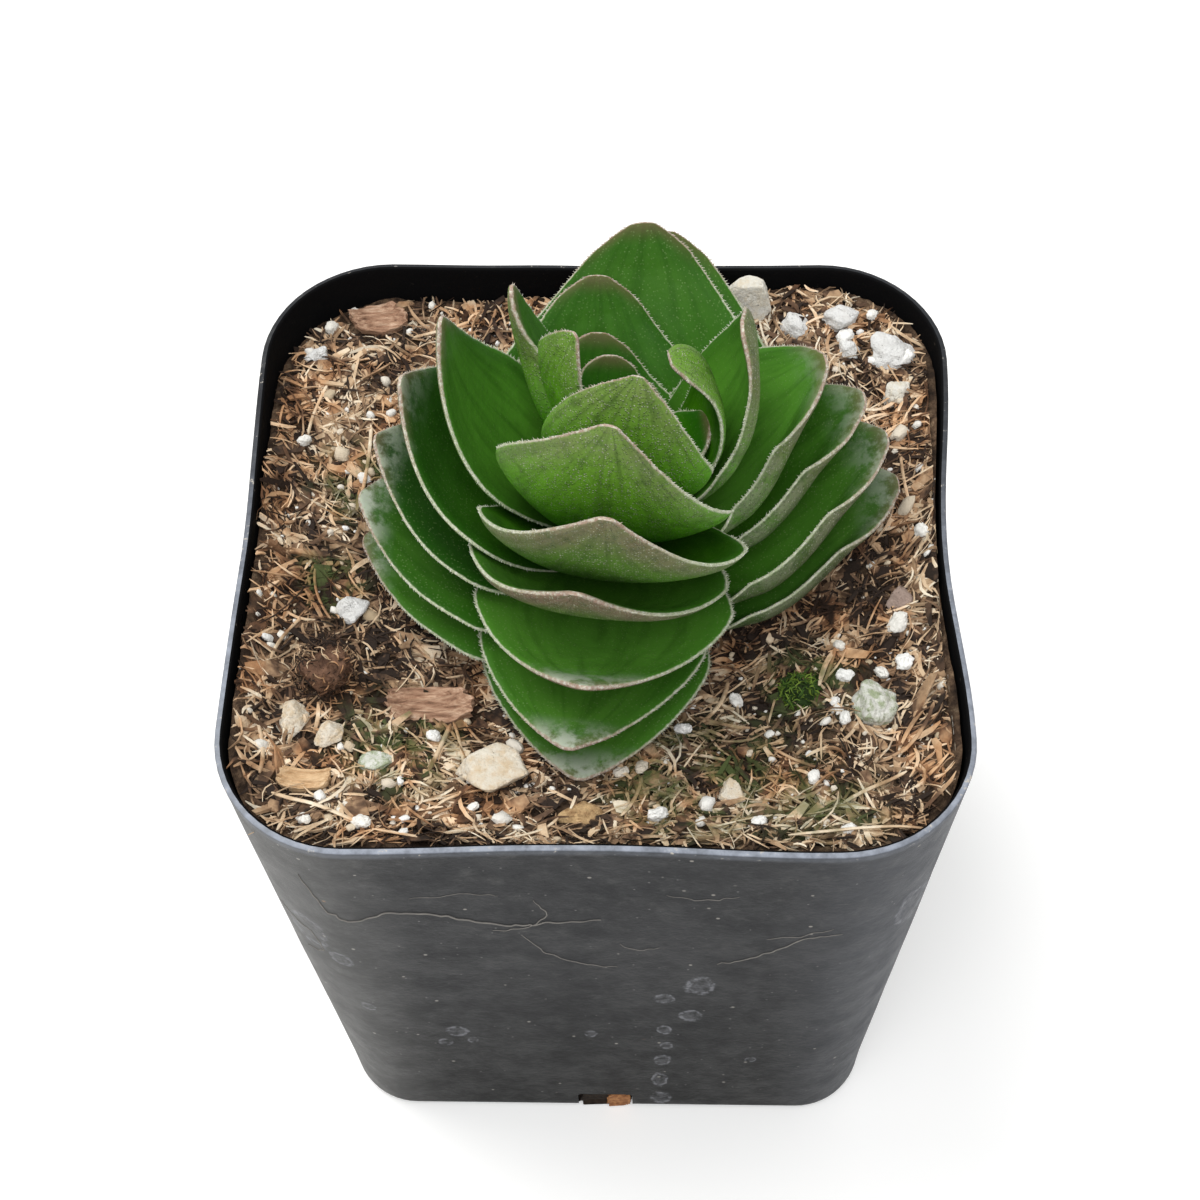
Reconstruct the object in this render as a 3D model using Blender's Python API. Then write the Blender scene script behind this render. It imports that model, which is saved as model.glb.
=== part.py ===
"""A small succulent with four ranks of stacked leaves, in a square plastic nursery pot.

Z is up and the plant's front faces -Y. The origin is the centre of the pot's underside.
Sizes are in millimetres, and MM turns them into Blender's metres.
"""
import math

import bmesh
import bpy
import numpy as np
from mathutils import Vector, noise

MM = 0.001

# Pot
POT_WIDTH = 57.0           # across the rim
POT_HEIGHT = 59.0
SIDE_DRAFT = 5.1           # how far each side slopes in from the rim to the base
RIM_CORNER = 10.3
BASE_CORNER = 5.9
WALL = 0.9
FLOOR = 1.0
SLOT_WIDTH = 4.4           # drainage notch in the foot of each side
SLOT_HEIGHT = 2.0
SLOT_DEPTH = 3.0
SIDE_SAGS = (0.5, 1.1, 0.0, 0.3)      # inward bow of the rim: front, right, back, left

# Soil
SOIL_GAP = 0.3             # between the soil and the pot
HEADSPACE = 4.0            # from the rim down to the soil's mean surface
MOUND_HEIGHT = 1.8         # the soil stands higher in the back right corner
ROUGHNESS = 0.5

# Plant
LEAF_TO_WALL = 3.6         # from the longest side leaf's tip to the pot's inner wall
DRAWN_REACH = 24.0         # the plant's sizes below are drawn for this reach of its longest side leaf
PLANT_SINK = 1.0           # how far the lowest leaves start below the mean soil surface
HOLLOW_DEPTH = 4.3         # the dip in the soil under the plant
HOLLOW_RADIUS = 18.5
LEAF_BASE_THICKNESS = 0.45
LEAF_THICKNESS = 0.85
LEAF_GAP = 0.45            # free height between the bases of two successive pairs
STEM_RADIUS = 1.5
STEM_GAP = 0.7             # between the stem and the leaf bases
STEM_TO_SOIL = 0.5
STEM_LEAN = (0.19, 0.09)   # sideways shift for each millimetre of height: right, back
START_PITCH = -12.0        # degrees a lowest leaf rises where it leaves the stem
START_PITCH_STEP = 4.2     # added by each pair above it
END_PITCH = 18.0           # the same at BEND_LENGTH along the leaf
END_PITCH_STEP = 6.2
END_PITCH_GAIN = 0.2       # times the square of the pair's number
LEFT_RANK_STEP = -2.0      # the left rank bends up less, pair by pair
BEND_LENGTH = 20.0
SQUARENESS = 3.0           # 2 makes the rosette's bowl round, more makes it square
CORNER_LIFT = 0.45         # how far the bowl's corners turn up between the ranks
BASE_SHARE = 0.62          # width of a leaf's base as a share of its widest
WIDEST_AT = 0.42           # share of the length where a leaf is widest
TIP_POWER = 1.45
RANK_BEARINGS = (-5.0, 100.0, 183.0, 262.0)   # front, right, back, left, counter-clockwise
SIDES = ("front", "right", "back", "left")

# Pairs of leaves from the soil up. Each leaf: side, length, width, turn and extra end pitch.
LEAF_PAIRS = (
    (("front", 18.0, 16.5, 1, 3), ("back", 16.0, 17.0, 0, 8)),
    (("left", 17.5, 21.0, 5, 0), ("right", 22.0, 18.5, 1, 6)),
    (("front", 19.0, 16.5, -3, -3), ("back", 26.0, 26.0, -10, 2)),
    (("left", 19.0, 21.0, 5, 0), ("right", 21.0, 20.0, 3, 4)),
    (("front", 19.5, 19.0, -3, 0), ("back", 24.0, 24.0, -4, 5)),
    (("left", 20.0, 20.0, 2, 0), ("right", 19.5, 16.0, 7, 0)),
    (("front", 21.5, 20.5, -10, 5), ("back", 18.0, 18.5, 9, 0)),
    (("left", 22.0, 21.5, 3, 2), ("right", 17.5, 17.5, 13, 2)),
    (("front", 25.0, 21.5, -8, -8), ("back", 12.0, 13.5, 13, 0)),
    (("left", 23.5, 15.0, 1, -2), ("right", 19.5, 14.0, 14, 20)),
    (("front", 24.5, 22.0, -15, -12), ("back", 9.0, 9.0, 12, 0)),
    (("left", 17.5, 6.0, -25, -5), ("right", 17.0, 12.0, 4, 25)),
    (("front", 19.5, 18.0, -15, 0), ("back", 6.0, 8.0, 0, 0)),
    (("left", 15.0, 10.5, -2, 19), ("right", 6.0, 7.0, 0, 0)),
)

# Pieces lying in the soil. Each: name, material, right, back, height above the soil, half sizes, roughness.
STONE_GAP = 0.35
DRAWN_SURFACE = 27.6       # these are drawn for a pot with this much room from its middle to its inner wall
STONES = (
    ("stone_tan", "pumice", -7.6, -19.6, 0.6, (2.8, 2.3, 1.9), 0.22),
    ("pumice_front_left", "pumice", -23.4, -15.0, 0.5, (1.5, 1.4, 1.3), 0.22),
    ("pumice_front_left_small", "pumice", -20.3, -16.3, 0.5, (1.2, 1.3, 1.2), 0.22),
    ("pumice_front_right", "pumice", 10.4, -20.9, 0.3, (1.3, 1.1, 1.0), 0.2),
    ("pumice_back", "pumice", 12.2, 24.4, 1.6, (1.9, 1.7, 2.5), 0.18),
    ("pumice_back_small", "pumice", 16.0, 22.6, 0.4, (1.3, 1.2, 1.0), 0.2),
    ("pumice_back_right", "pumice", 24.2, 15.8, 0.5, (1.2, 1.2, 1.1), 0.2),
    ("perlite_left", "perlite", -19.6, -4.4, 0.4, (1.4, 1.4, 1.3), 0.2),
    ("perlite_front", "perlite", 4.8, -24.0, 0.2, (1.0, 0.9, 0.8), 0.2),
    ("perlite_front_left", "perlite", -16.6, -18.2, 0.2, (1.3, 1.2, 0.9), 0.25),
    ("perlite_right", "perlite", 21.2, -13.2, 0.6, (1.9, 1.8, 1.5), 0.2),
    ("perlite_back", "perlite", 19.8, 23.4, 0.6, (1.5, 1.2, 1.3), 0.22),
    ("perlite_back_small", "perlite", 20.6, 20.3, 0.4, (1.1, 1.1, 1.0), 0.2),
    ("perlite_back_right", "perlite", 24.1, 19.6, 0.7, (1.9, 1.6, 1.5), 0.22),
    ("perlite_back_left", "perlite", -24.4, 21.0, 0.4, (1.1, 1.0, 1.0), 0.2),
    ("stone_pink", "stone", 23.8, -3.7, 0.4, (1.3, 1.2, 1.0), 0.15),
    ("moss_tuft", "moss", 15.8, -11.4, 0.2, (1.8, 1.6, 1.0), 0.25),
    ("coir_ball", "bark", -20.9, -10.8, 0.5, (2.1, 2.0, 1.7), 0.25),
    ("bark_crumb", "bark", -1.0, -22.9, 0.3, (1.9, 1.1, 0.9), 0.3),
)
# Flat chips. Each: name, right, back, height above the soil, length, width, thickness, bearing, bend.
CHIPS = (
    ("bark_chip", -13.0, -12.6, 0.4, 7.0, 3.0, 0.8, 8.0, 35.0),
    ("wood_chip", -21.8, -20.4, 0.5, 4.0, 1.8, 0.9, -6.0, 10.0),
    ("bark_flake", -19.5, 25.0, 0.5, 5.0, 2.2, 0.7, 20.0, 15.0),
)

MATERIALS = {
    # name: colour, roughness
    "black_plastic": ((0.035, 0.036, 0.040), 0.45),
    "potting_mix": ((0.16, 0.10, 0.06), 0.95),
    "leaf": ((0.08, 0.22, 0.04), 0.42),
    "stem": ((0.16, 0.22, 0.07), 0.6),
    "pumice": ((0.66, 0.54, 0.38), 0.9),
    "perlite": ((0.85, 0.84, 0.80), 0.85),
    "stone": ((0.48, 0.42, 0.38), 0.8),
    "bark": ((0.30, 0.16, 0.09), 0.9),
    "moss": ((0.08, 0.12, 0.03), 0.95),
}

inner_half = POT_WIDTH / 2 - WALL
plant_scale = (inner_half - LEAF_TO_WALL) / DRAWN_REACH
stone_scale = inner_half / DRAWN_SURFACE
soil_level = POT_HEIGHT - HEADSPACE
plant_base = soil_level - PLANT_SINK * plant_scale
pair_step = LEAF_BASE_THICKNESS + LEAF_GAP


def clear_scene():
    for item in list(bpy.data.objects):
        bpy.data.objects.remove(item, do_unlink=True)


def make_materials():
    made = {}
    for name, (colour, roughness) in MATERIALS.items():
        material = bpy.data.materials.new(name)
        material.use_nodes = True
        shader = material.node_tree.nodes["Principled BSDF"]
        shader.inputs["Base Color"].default_value = (*colour, 1.0)
        shader.inputs["Roughness"].default_value = roughness
        made[name] = material
    return made


def to_mesh(name, form):
    """Turn a bmesh in millimetres into a mesh in metres, with its faces pointing out."""
    form.normal_update()
    bmesh.ops.recalc_face_normals(form, faces=form.faces)
    bmesh.ops.scale(form, vec=(MM, MM, MM), verts=form.verts)
    mesh = bpy.data.meshes.new(name)
    form.to_mesh(mesh)
    form.free()
    return mesh


def add_object(name, form, material, smooth_angle=40.0):
    mesh = to_mesh(name, form)
    mesh.shade_smooth()
    mesh.set_sharp_from_angle(angle=math.radians(smooth_angle))
    mesh.materials.append(material)
    piece = bpy.data.objects.new(name, mesh)
    bpy.context.scene.collection.objects.link(piece)
    return piece


def add_cutter(name, form, collection):
    """A solid that is only subtracted from others."""
    cutter = bpy.data.objects.new(name, to_mesh(name, form))
    cutter.hide_render = True
    cutter.display_type = "WIRE"
    collection.objects.link(cutter)


def new_cutter_collection(name):
    collection = bpy.data.collections.new(name)
    bpy.context.scene.collection.children.link(collection)
    return collection


def subtract(piece, collection):
    cut = piece.modifiers.new("cut", "BOOLEAN")
    cut.operation = "DIFFERENCE"
    cut.operand_type = "COLLECTION"
    cut.collection = collection
    cut.solver = "EXACT"


# ---------------------------------------------------------------- pot

CORNER_STEPS = 5
SIDE_STEPS = 4


def pot_outline(height, inset):
    """Points round the pot at a height, moved in from its outer face by inset."""
    share = height / POT_HEIGHT
    half = POT_WIDTH / 2 - SIDE_DRAFT * (1 - share) - inset
    corner = BASE_CORNER + (RIM_CORNER - BASE_CORNER) * share - inset
    points = []
    for side, sag in enumerate(SIDE_SAGS):
        turn = math.radians(90 * side)
        across, out = Vector((math.cos(turn), math.sin(turn))), Vector((math.sin(turn), -math.cos(turn)))
        for step in range(SIDE_STEPS):
            along = step / SIDE_STEPS
            bow = sag * share ** 2 * math.sin(math.pi * along) ** 2
            points.append(across * ((2 * along - 1) * (half - corner)) + out * (half - bow))
        for step in range(CORNER_STEPS):
            angle = math.radians(90 * step / CORNER_STEPS)
            centre = (across + out) * (half - corner)
            points.append(centre + (out * math.cos(angle) + across * math.sin(angle)) * corner)
    return points


def add_ring(form, points, height):
    return [form.verts.new((point.x, point.y, height)) for point in points]


def join_rings(form, lower, upper):
    count = len(lower)
    for k in range(count):
        n = (k + 1) % count
        form.faces.new((lower[k], lower[n], upper[n], upper[k]))


def build_pot(material):
    form = bmesh.new()
    heights = [POT_HEIGHT * share for share in (0.0, 0.35, 0.7, 1.0)]
    outer = [add_ring(form, pot_outline(height, 0.0), height) for height in heights]
    heights[0] = FLOOR
    inner = [add_ring(form, pot_outline(height, WALL), height) for height in heights]
    for rings in (outer, inner):
        for lower, upper in zip(rings, rings[1:]):
            join_rings(form, lower, upper)
    join_rings(form, outer[-1], inner[-1])
    form.faces.new(outer[0])
    form.faces.new(inner[0])
    pot = add_object("pot", form, material)

    slots = new_cutter_collection("drainage_notches")
    foot = POT_WIDTH / 2 - SIDE_DRAFT
    for side in range(4):
        turn = math.radians(90 * side)
        form = bmesh.new()
        bmesh.ops.create_cube(form, size=1.0)
        length = SLOT_DEPTH + 2.0
        bmesh.ops.scale(form, vec=(SLOT_WIDTH, length, SLOT_HEIGHT + 1.0), verts=form.verts)
        middle = foot - SLOT_DEPTH + length / 2
        bmesh.ops.translate(form, vec=(0, -middle, (SLOT_HEIGHT - 1.0) / 2), verts=form.verts)
        for vert in form.verts:
            x, y = vert.co.x, vert.co.y
            vert.co.x = x * math.cos(turn) - y * math.sin(turn)
            vert.co.y = x * math.sin(turn) + y * math.cos(turn)
        add_cutter(f"notch_{SIDES[side]}", form, slots)
    subtract(pot, slots)


# ---------------------------------------------------------------- soil

SOIL_RINGS = 12


def soil_height(x, y):
    """The soil's surface: a hollow under the plant, a mound at the back right, and small bumps."""
    hollow = HOLLOW_DEPTH * plant_scale * math.exp(-(math.hypot(x, y) / (HOLLOW_RADIUS * plant_scale)) ** 4)
    slope = max(0.0, (x + y) / (POT_WIDTH / 2))
    mound = MOUND_HEIGHT * min(1.0, slope ** 4)
    bumps = ROUGHNESS * noise.noise(Vector((x / 5, y / 5, 7.0)))
    return soil_level - hollow + mound + bumps


def build_soil(material):
    form = bmesh.new()
    bottom = FLOOR + SOIL_GAP
    inset = WALL + SOIL_GAP
    heights = [bottom] + [POT_HEIGHT * share for share in (0.35, 0.7)]
    rings = [add_ring(form, pot_outline(height, inset), height) for height in heights]
    edge = []
    for k, point in enumerate(pot_outline(soil_level, inset)):
        height = soil_height(point.x, point.y)
        fitted = pot_outline(height, inset)[k]
        edge.append(Vector((fitted.x, fitted.y, height)))
    rings.append([form.verts.new(point) for point in edge])
    for step in range(1, SOIL_RINGS):
        share = 1 - step / SOIL_RINGS
        ring = []
        for point in edge:
            x, y = point.x * share, point.y * share
            ring.append(form.verts.new((x, y, soil_height(x, y))))
        rings.append(ring)
    for lower, upper in zip(rings, rings[1:]):
        join_rings(form, lower, upper)
    form.faces.new(rings[0])
    middle = form.verts.new((0, 0, soil_height(0, 0)))
    last = rings[-1]
    for k, vert in enumerate(last):
        form.faces.new((vert, last[(k + 1) % len(last)], middle))
    return add_object("soil", form, material)


# ---------------------------------------------------------------- plant


def midrib(start, end, along):
    """Run and rise of a rib whose pitch turns evenly from start to end over BEND_LENGTH."""
    bend = (end - start) / BEND_LENGTH
    pitch = start + bend * along
    return (np.sin(pitch) - np.sin(start)) / bend, (np.cos(start) - np.cos(pitch)) / bend, pitch


def axis_shift(height):
    """The leaning stem's sideways shift at a height above the plant's base."""
    return STEM_LEAN[0] * height, STEM_LEAN[1] * height


def rosette_point(level, side, along, across, turn, extra):
    """Points on the bowl that a pair of leaves lies on. Bowls of successive pairs nest clear of each other.

    along runs from the stem outwards and across from the rib to the left or right, as arrays.
    """
    rank = SIDES.index(side)
    start = math.radians(START_PITCH + START_PITCH_STEP * level)
    end = END_PITCH + END_PITCH_STEP * level + END_PITCH_GAIN * level ** 2 + extra
    if side == "left":
        end += LEFT_RANK_STEP * level
    end = math.radians(end)
    first = STEM_RADIUS + STEM_GAP
    run, _, pitch = midrib(start, end, along)
    run = run + first
    diagonal = (run ** SQUARENESS + np.abs(across) ** SQUARENESS) ** (1 / SQUARENESS)
    reach = along + np.clip(np.cos(pitch), 0, 1) * (diagonal - run)
    out, rise, _ = midrib(start, end, reach)
    out = out + first
    angle = np.arctan2(across, run) + math.radians(turn)
    norm = (np.abs(np.cos(angle)) ** SQUARENESS + np.abs(np.sin(angle)) ** SQUARENESS) ** (1 / SQUARENESS)
    forward, sideways = out * np.cos(angle) / norm, out * np.sin(angle) / norm
    radius = np.hypot(forward, sideways)
    flat = (np.abs(forward) ** 10 + np.abs(sideways) ** 10) ** 0.1
    height = pair_step * level + rise + CORNER_LIFT * (radius - flat)
    # Turn from the four even quarters to the real bearings of the ranks.
    quarters = [-90, 0, 90, 180, 270, 360, 450]
    bearings = [RANK_BEARINGS[3] - 360, *RANK_BEARINGS, RANK_BEARINGS[0] + 360, RANK_BEARINGS[1] + 360]
    even = np.degrees(np.arctan2(sideways, forward)) + 90 * rank
    bearing = np.radians(np.interp(even, quarters, bearings))
    lean = axis_shift(height)
    x = radius * np.sin(bearing) + lean[0]
    y = -radius * np.cos(bearing) + lean[1]
    return np.stack([x, y, height], -1)


def leaf_half_width(share, width):
    """Half the width at a share of the length: broad base, widest before the middle, pointed tip."""
    lower = BASE_SHARE + (1 - BASE_SHARE) * np.sin(np.pi / 2 * np.clip(share / WIDEST_AT, 0, 1))
    upper = 1 - np.clip((share - WIDEST_AT) / (1 - WIDEST_AT), 0, 1) ** TIP_POWER
    return np.where(share < WIDEST_AT, lower, upper) * width / 2


LEAF_ROWS = 9
LEAF_COLUMNS = 6


def build_leaf(name, level, leaf, material):
    side, length, width, turn, extra = leaf
    rows = np.arange(LEAF_ROWS + 1) / LEAF_ROWS
    columns = np.linspace(-1, 1, LEAF_COLUMNS + 1)
    share, u = np.meshgrid(rows, columns, indexing="ij")
    along, across = share * length, u * leaf_half_width(share, width)

    def surface(step_along, step_across):
        return rosette_point(level, side, along + step_along, across + step_across, turn, extra)

    middle = surface(0, 0)
    nudge = 0.05
    normal = np.cross(surface(nudge, 0) - surface(-nudge, 0), surface(0, nudge) - surface(0, -nudge))
    normal /= np.linalg.norm(normal, axis=-1, keepdims=True)
    growth = np.sin(np.pi / 2 * np.clip(share / 0.5, 0, 1))
    thickness = LEAF_BASE_THICKNESS + (LEAF_THICKNESS - LEAF_BASE_THICKNESS) * growth
    half = (thickness / 2 * np.sqrt(1 - u ** 4))[..., None] * normal

    def place(point):
        return Vector(point) * plant_scale + Vector((0, 0, plant_base))

    form = bmesh.new()
    upper, lower = [], []
    for i in range(LEAF_ROWS):
        top = [form.verts.new(place(middle[i, j] + half[i, j])) for j in range(LEAF_COLUMNS + 1)]
        bottom = [form.verts.new(place(middle[i, j] - half[i, j])) for j in range(1, LEAF_COLUMNS)]
        upper.append(top)
        lower.append([top[0], *bottom, top[-1]])
    tip = form.verts.new(place(middle[-1, LEAF_COLUMNS // 2]))
    for sheet in (upper, lower):
        for near, far in zip(sheet, sheet[1:]):
            for j in range(LEAF_COLUMNS):
                form.faces.new((near[j], near[j + 1], far[j + 1], far[j]))
        for j in range(LEAF_COLUMNS):
            form.faces.new((sheet[-1][j], sheet[-1][j + 1], tip))
    form.faces.new([*upper[0], *reversed(lower[0][1:-1])])
    add_object(name, form, material)


def build_leaves(material):
    for level, pair in enumerate(LEAF_PAIRS):
        for leaf in pair:
            build_leaf(f"leaf_{level + 1:02d}_{leaf[0]}", level, leaf, material)


def build_stem(material):
    """A short leaning stem, from just above the soil to the innermost leaves."""
    form = bmesh.new()
    bottom = (soil_height(0, 0) + STEM_TO_SOIL - plant_base) / plant_scale
    top = pair_step * (len(LEAF_PAIRS) - 1) + 1.0
    rings = []
    for share, radius in ((0.0, 1.0), (0.8, 1.0), (1.0, 0.5)):
        height = bottom + (top - bottom) * share
        x, y = axis_shift(height)
        ring = []
        for step in range(16):
            angle = 2 * math.pi * step / 16
            point = Vector((x + STEM_RADIUS * radius * math.cos(angle),
                            y + STEM_RADIUS * radius * math.sin(angle), height))
            ring.append(form.verts.new(point * plant_scale + Vector((0, 0, plant_base))))
        rings.append(ring)
    for lower, upper in zip(rings, rings[1:]):
        join_rings(form, lower, upper)
    form.faces.new(rings[0])
    form.faces.new(rings[-1])
    add_object("stem", form, material)


# ---------------------------------------------------------------- stones and chips


def pebble(place, half_sizes, roughness, seed, grow):
    """A lumpy stone, grown outwards by grow."""
    form = bmesh.new()
    bmesh.ops.create_icosphere(form, subdivisions=2, radius=1.0)
    for vert in form.verts:
        way = vert.co.normalized()
        lump = 1 + roughness * noise.noise(way * 1.6 + Vector((seed, 2 * seed, 0)))
        point = Vector(way[k] * half_sizes[k] * stone_scale * lump for k in range(3))
        vert.co = place + point + way * grow
    return form


def chip(place, length, width, thickness, bearing, bend, grow):
    """A flat chip bent along its length, grown outwards by grow."""
    form = bmesh.new()
    steps = 5
    turn, curve = math.radians(bearing), math.radians(bend)
    radius = length * stone_scale / curve
    ends = (width * stone_scale / 2 + grow, thickness * stone_scale / 2 + grow)
    rings = []
    for step in range(steps + 1):
        share = step / steps
        angle = curve * (share - 0.5)
        past = grow * (2 * share - 1) if step in (0, steps) else 0.0
        along = math.sin(angle) * radius + past
        rise = (math.cos(angle) - 1) * radius
        ring = []
        for side, height in ((-1, -1), (1, -1), (1, 1), (-1, 1)):
            across = side * ends[0] * (0.8 + 0.2 * math.sin(math.pi * share))
            x = along * math.cos(turn) - across * math.sin(turn)
            y = along * math.sin(turn) + across * math.cos(turn)
            ring.append(form.verts.new(place + Vector((x, y, rise + height * ends[1]))))
        rings.append(ring)
    for lower, upper in zip(rings, rings[1:]):
        join_rings(form, lower, upper)
    form.faces.new(rings[0])
    form.faces.new(rings[-1])
    return form


def build_stones(materials, pits):
    for seed, (name, material, right, back, lift, half_sizes, roughness) in enumerate(STONES, 1):
        x, y = right * stone_scale, back * stone_scale
        place = Vector((x, y, soil_height(x, y) + lift * stone_scale))
        add_object(name, pebble(place, half_sizes, roughness, seed, 0.0), materials[material])
        add_cutter(f"pit_{name}", pebble(place, half_sizes, roughness, seed, STONE_GAP), pits)
    for name, right, back, lift, *shape in CHIPS:
        x, y = right * stone_scale, back * stone_scale
        place = Vector((x, y, soil_height(x, y) + lift * stone_scale))
        add_object(name, chip(place, *shape, 0.0), materials["bark"])
        add_cutter(f"pit_{name}", chip(place, *shape, STONE_GAP), pits)


clear_scene()
materials = make_materials()
build_pot(materials["black_plastic"])
soil = build_soil(materials["potting_mix"])
build_stem(materials["stem"])
build_leaves(materials["leaf"])
pits = new_cutter_collection("pits")
build_stones(materials, pits)
subtract(soil, pits)
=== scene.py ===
"""A small succulent with four ranks of stacked leaves, in a square plastic nursery pot.

Z is up and the plant's front faces -Y. The origin is the centre of the pot's underside.
Sizes are given in millimetres, and MM turns them into metres.
"""
import math

import bmesh
import bpy
import numpy as np
from mathutils import Matrix, Vector, noise


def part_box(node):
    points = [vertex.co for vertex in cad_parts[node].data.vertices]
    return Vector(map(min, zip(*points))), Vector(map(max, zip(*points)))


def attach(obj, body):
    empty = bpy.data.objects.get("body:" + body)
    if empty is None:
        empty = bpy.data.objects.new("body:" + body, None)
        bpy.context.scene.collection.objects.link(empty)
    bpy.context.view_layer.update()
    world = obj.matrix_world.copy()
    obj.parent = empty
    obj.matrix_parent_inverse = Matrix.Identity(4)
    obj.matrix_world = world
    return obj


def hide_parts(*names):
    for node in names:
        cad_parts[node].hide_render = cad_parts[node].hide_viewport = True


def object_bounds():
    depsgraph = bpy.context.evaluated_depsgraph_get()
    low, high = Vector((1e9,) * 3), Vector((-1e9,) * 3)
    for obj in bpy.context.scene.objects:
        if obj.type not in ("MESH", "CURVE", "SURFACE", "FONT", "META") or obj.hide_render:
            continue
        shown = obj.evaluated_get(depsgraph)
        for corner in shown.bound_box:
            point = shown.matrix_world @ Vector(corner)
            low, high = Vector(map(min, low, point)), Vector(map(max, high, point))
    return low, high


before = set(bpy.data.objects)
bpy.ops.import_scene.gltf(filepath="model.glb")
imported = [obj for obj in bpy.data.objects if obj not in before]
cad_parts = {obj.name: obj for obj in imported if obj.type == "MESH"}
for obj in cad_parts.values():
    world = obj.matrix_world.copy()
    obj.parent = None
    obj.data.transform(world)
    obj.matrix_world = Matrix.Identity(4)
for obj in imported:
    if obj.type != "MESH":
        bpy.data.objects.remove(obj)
packed_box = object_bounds()

# ---------------------------------------------------------------- nursery pot
# A square nursery pot: one thin shell of charcoal plastic, moulded with draft so that pots stack.
# Its sides bow in a little at the rim, and a drainage notch is cut in the foot of each side.
MM = 0.001
POT_WIDTH = 57.0
POT_HEIGHT = 59.0
SIDE_DRAFT = 5.1
RIM_CORNER = 10.3
BASE_CORNER = 5.9
WALL = 0.9
RIM_WALL = 0.6                # the wall thins towards the rim
SIDE_SAGS = {(0, -1): 0.5, (1, 0): 1.1, (0, 1): 0.0, (-1, 0): 0.3}
FOOT_ROUNDING = 1.4
RIM_ROUNDING = 0.18
NOTCH = (5.0, 3.0, 3.6)       # width, depth and height
CUT_HEIGHTS = (5, 10, 15, 20, 25, 30, 35, 40, 45, 50, 53, 55, 57, 58.2)
THINS_FROM, THINS_OVER = 48, 10


def select_in(piece, kind, wanted):
    """In edit mode, leaves only the faces, edges or verts selected that wanted says."""
    form = bmesh.from_edit_mesh(piece.data)
    form.normal_update()
    bpy.context.tool_settings.mesh_select_mode = (kind == "verts", kind == "edges", kind == "faces")
    for things in (form.verts, form.edges, form.faces):
        for thing in things:
            thing.select = False
    for thing in getattr(form, kind):
        thing.select_set(bool(wanted(thing)))
    form.select_flush_mode()
    bmesh.update_edit_mesh(piece.data)


def name_piece(name):
    piece = bpy.context.active_object
    piece.name = piece.data.name = name
    return piece


def start_piece(name, add_primitive, **settings):
    """Adds a primitive while nothing else is selected."""
    bpy.ops.object.select_all(action="DESELECT")
    add_primitive(**settings)
    return name_piece(name)


def corners_of(piece):
    """The piece's vertices in millimetres, as an array."""
    found = np.empty(len(piece.data.vertices) * 3)
    piece.data.vertices.foreach_get("co", found)
    return found.reshape(-1, 3) / MM


def move_corners(piece, places):
    """Puts the vertices at places in millimetres."""
    piece.data.vertices.foreach_set("co", np.asarray(places, float).ravel())
    piece.data.transform(Matrix.Scale(MM, 4))
    piece.data.update()


def apply_modifier(piece, kind, **settings):
    bpy.context.view_layer.objects.active = piece
    modifier = piece.modifiers.new(kind.lower(), kind)
    for setting, value in settings.items():
        setattr(modifier, setting, value)
    bpy.ops.object.modifier_apply(modifier=modifier.name)


def select_only(piece):
    bpy.ops.object.select_all(action="DESELECT")
    piece.select_set(True)
    bpy.context.view_layer.objects.active = piece


def smooth(piece, degrees):
    select_only(piece)
    bpy.ops.object.shade_smooth_by_angle(angle=math.radians(degrees))


def settle(piece, slot, *finishes, stands_for=None):
    """Gives a piece its materials, hides the CAD solid that it stands for and hangs the piece under the root body.
    The slot is not used.
    """
    for finish in finishes:
        piece.data.materials.append(finish.material)
    if stands_for:
        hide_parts(stands_for)
    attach(piece, "root")


def grain(places, size, seed):
    """Smooth random values from -1 to 1 at places, with features about size across."""
    shift = Vector((seed * 7.3, seed * 3.1, seed * 5.7))
    return np.array([noise.noise(Vector(place) / size + shift) for place in places])


def pot_plan(x, y, height, inset=0.0):
    """Moves points drawn on the rim's full square to the pot's outline at their height."""
    share = np.clip(height / POT_HEIGHT, 0, 1)
    half = POT_WIDTH / 2
    straight = half - RIM_CORNER
    new_half = half - SIDE_DRAFT * (1 - share) - inset
    corner = BASE_CORNER + (RIM_CORNER - BASE_CORNER) * share - inset
    moved = []
    for value in (x, y):
        on_side = np.clip(value, -straight, straight)
        moved.append(on_side * (new_half - corner) / straight + (value - on_side) * corner / RIM_CORNER)
    bowed = [moved[0].copy(), moved[1].copy()]
    for (right, back), sag in SIDE_SAGS.items():
        out = right * moved[0] + back * moved[1]
        along = np.clip(np.abs(back * moved[0] + right * moved[1]) / (new_half - corner), 0, 1)
        bow = sag * share ** 2 * np.cos(np.pi / 2 * along) ** 2 * np.clip(out / new_half, 0, 1) ** 2
        bowed[0] -= right * bow
        bowed[1] -= back * bow
    return bowed


pot = start_piece("nursery_pot", bpy.ops.mesh.primitive_cube_add, size=POT_WIDTH * MM,
                  location=(0, 0, POT_HEIGHT * MM / 2))
pot.scale.z = POT_HEIGHT / POT_WIDTH
bpy.ops.object.transform_apply(location=True, rotation=False, scale=True)
bpy.ops.object.mode_set(mode="EDIT")
select_in(pot, "edges", lambda edge: abs(edge.verts[0].co.z - edge.verts[1].co.z) > 0.02)
bpy.ops.mesh.bevel(offset=RIM_CORNER * MM, segments=14, affect="EDGES")
select_in(pot, "faces", lambda face: face.calc_center_median().z > POT_HEIGHT * 0.99 * MM)
bpy.ops.mesh.delete(type="FACE")
cuts = [((0, 0, height), (0, 0, 1)) for height in CUT_HEIGHTS]
for along in np.linspace(-16, 16, 17):
    cuts += [((along, 0, 0), (1, 0, 0)), ((0, along, 0), (0, 1, 0))]
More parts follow.
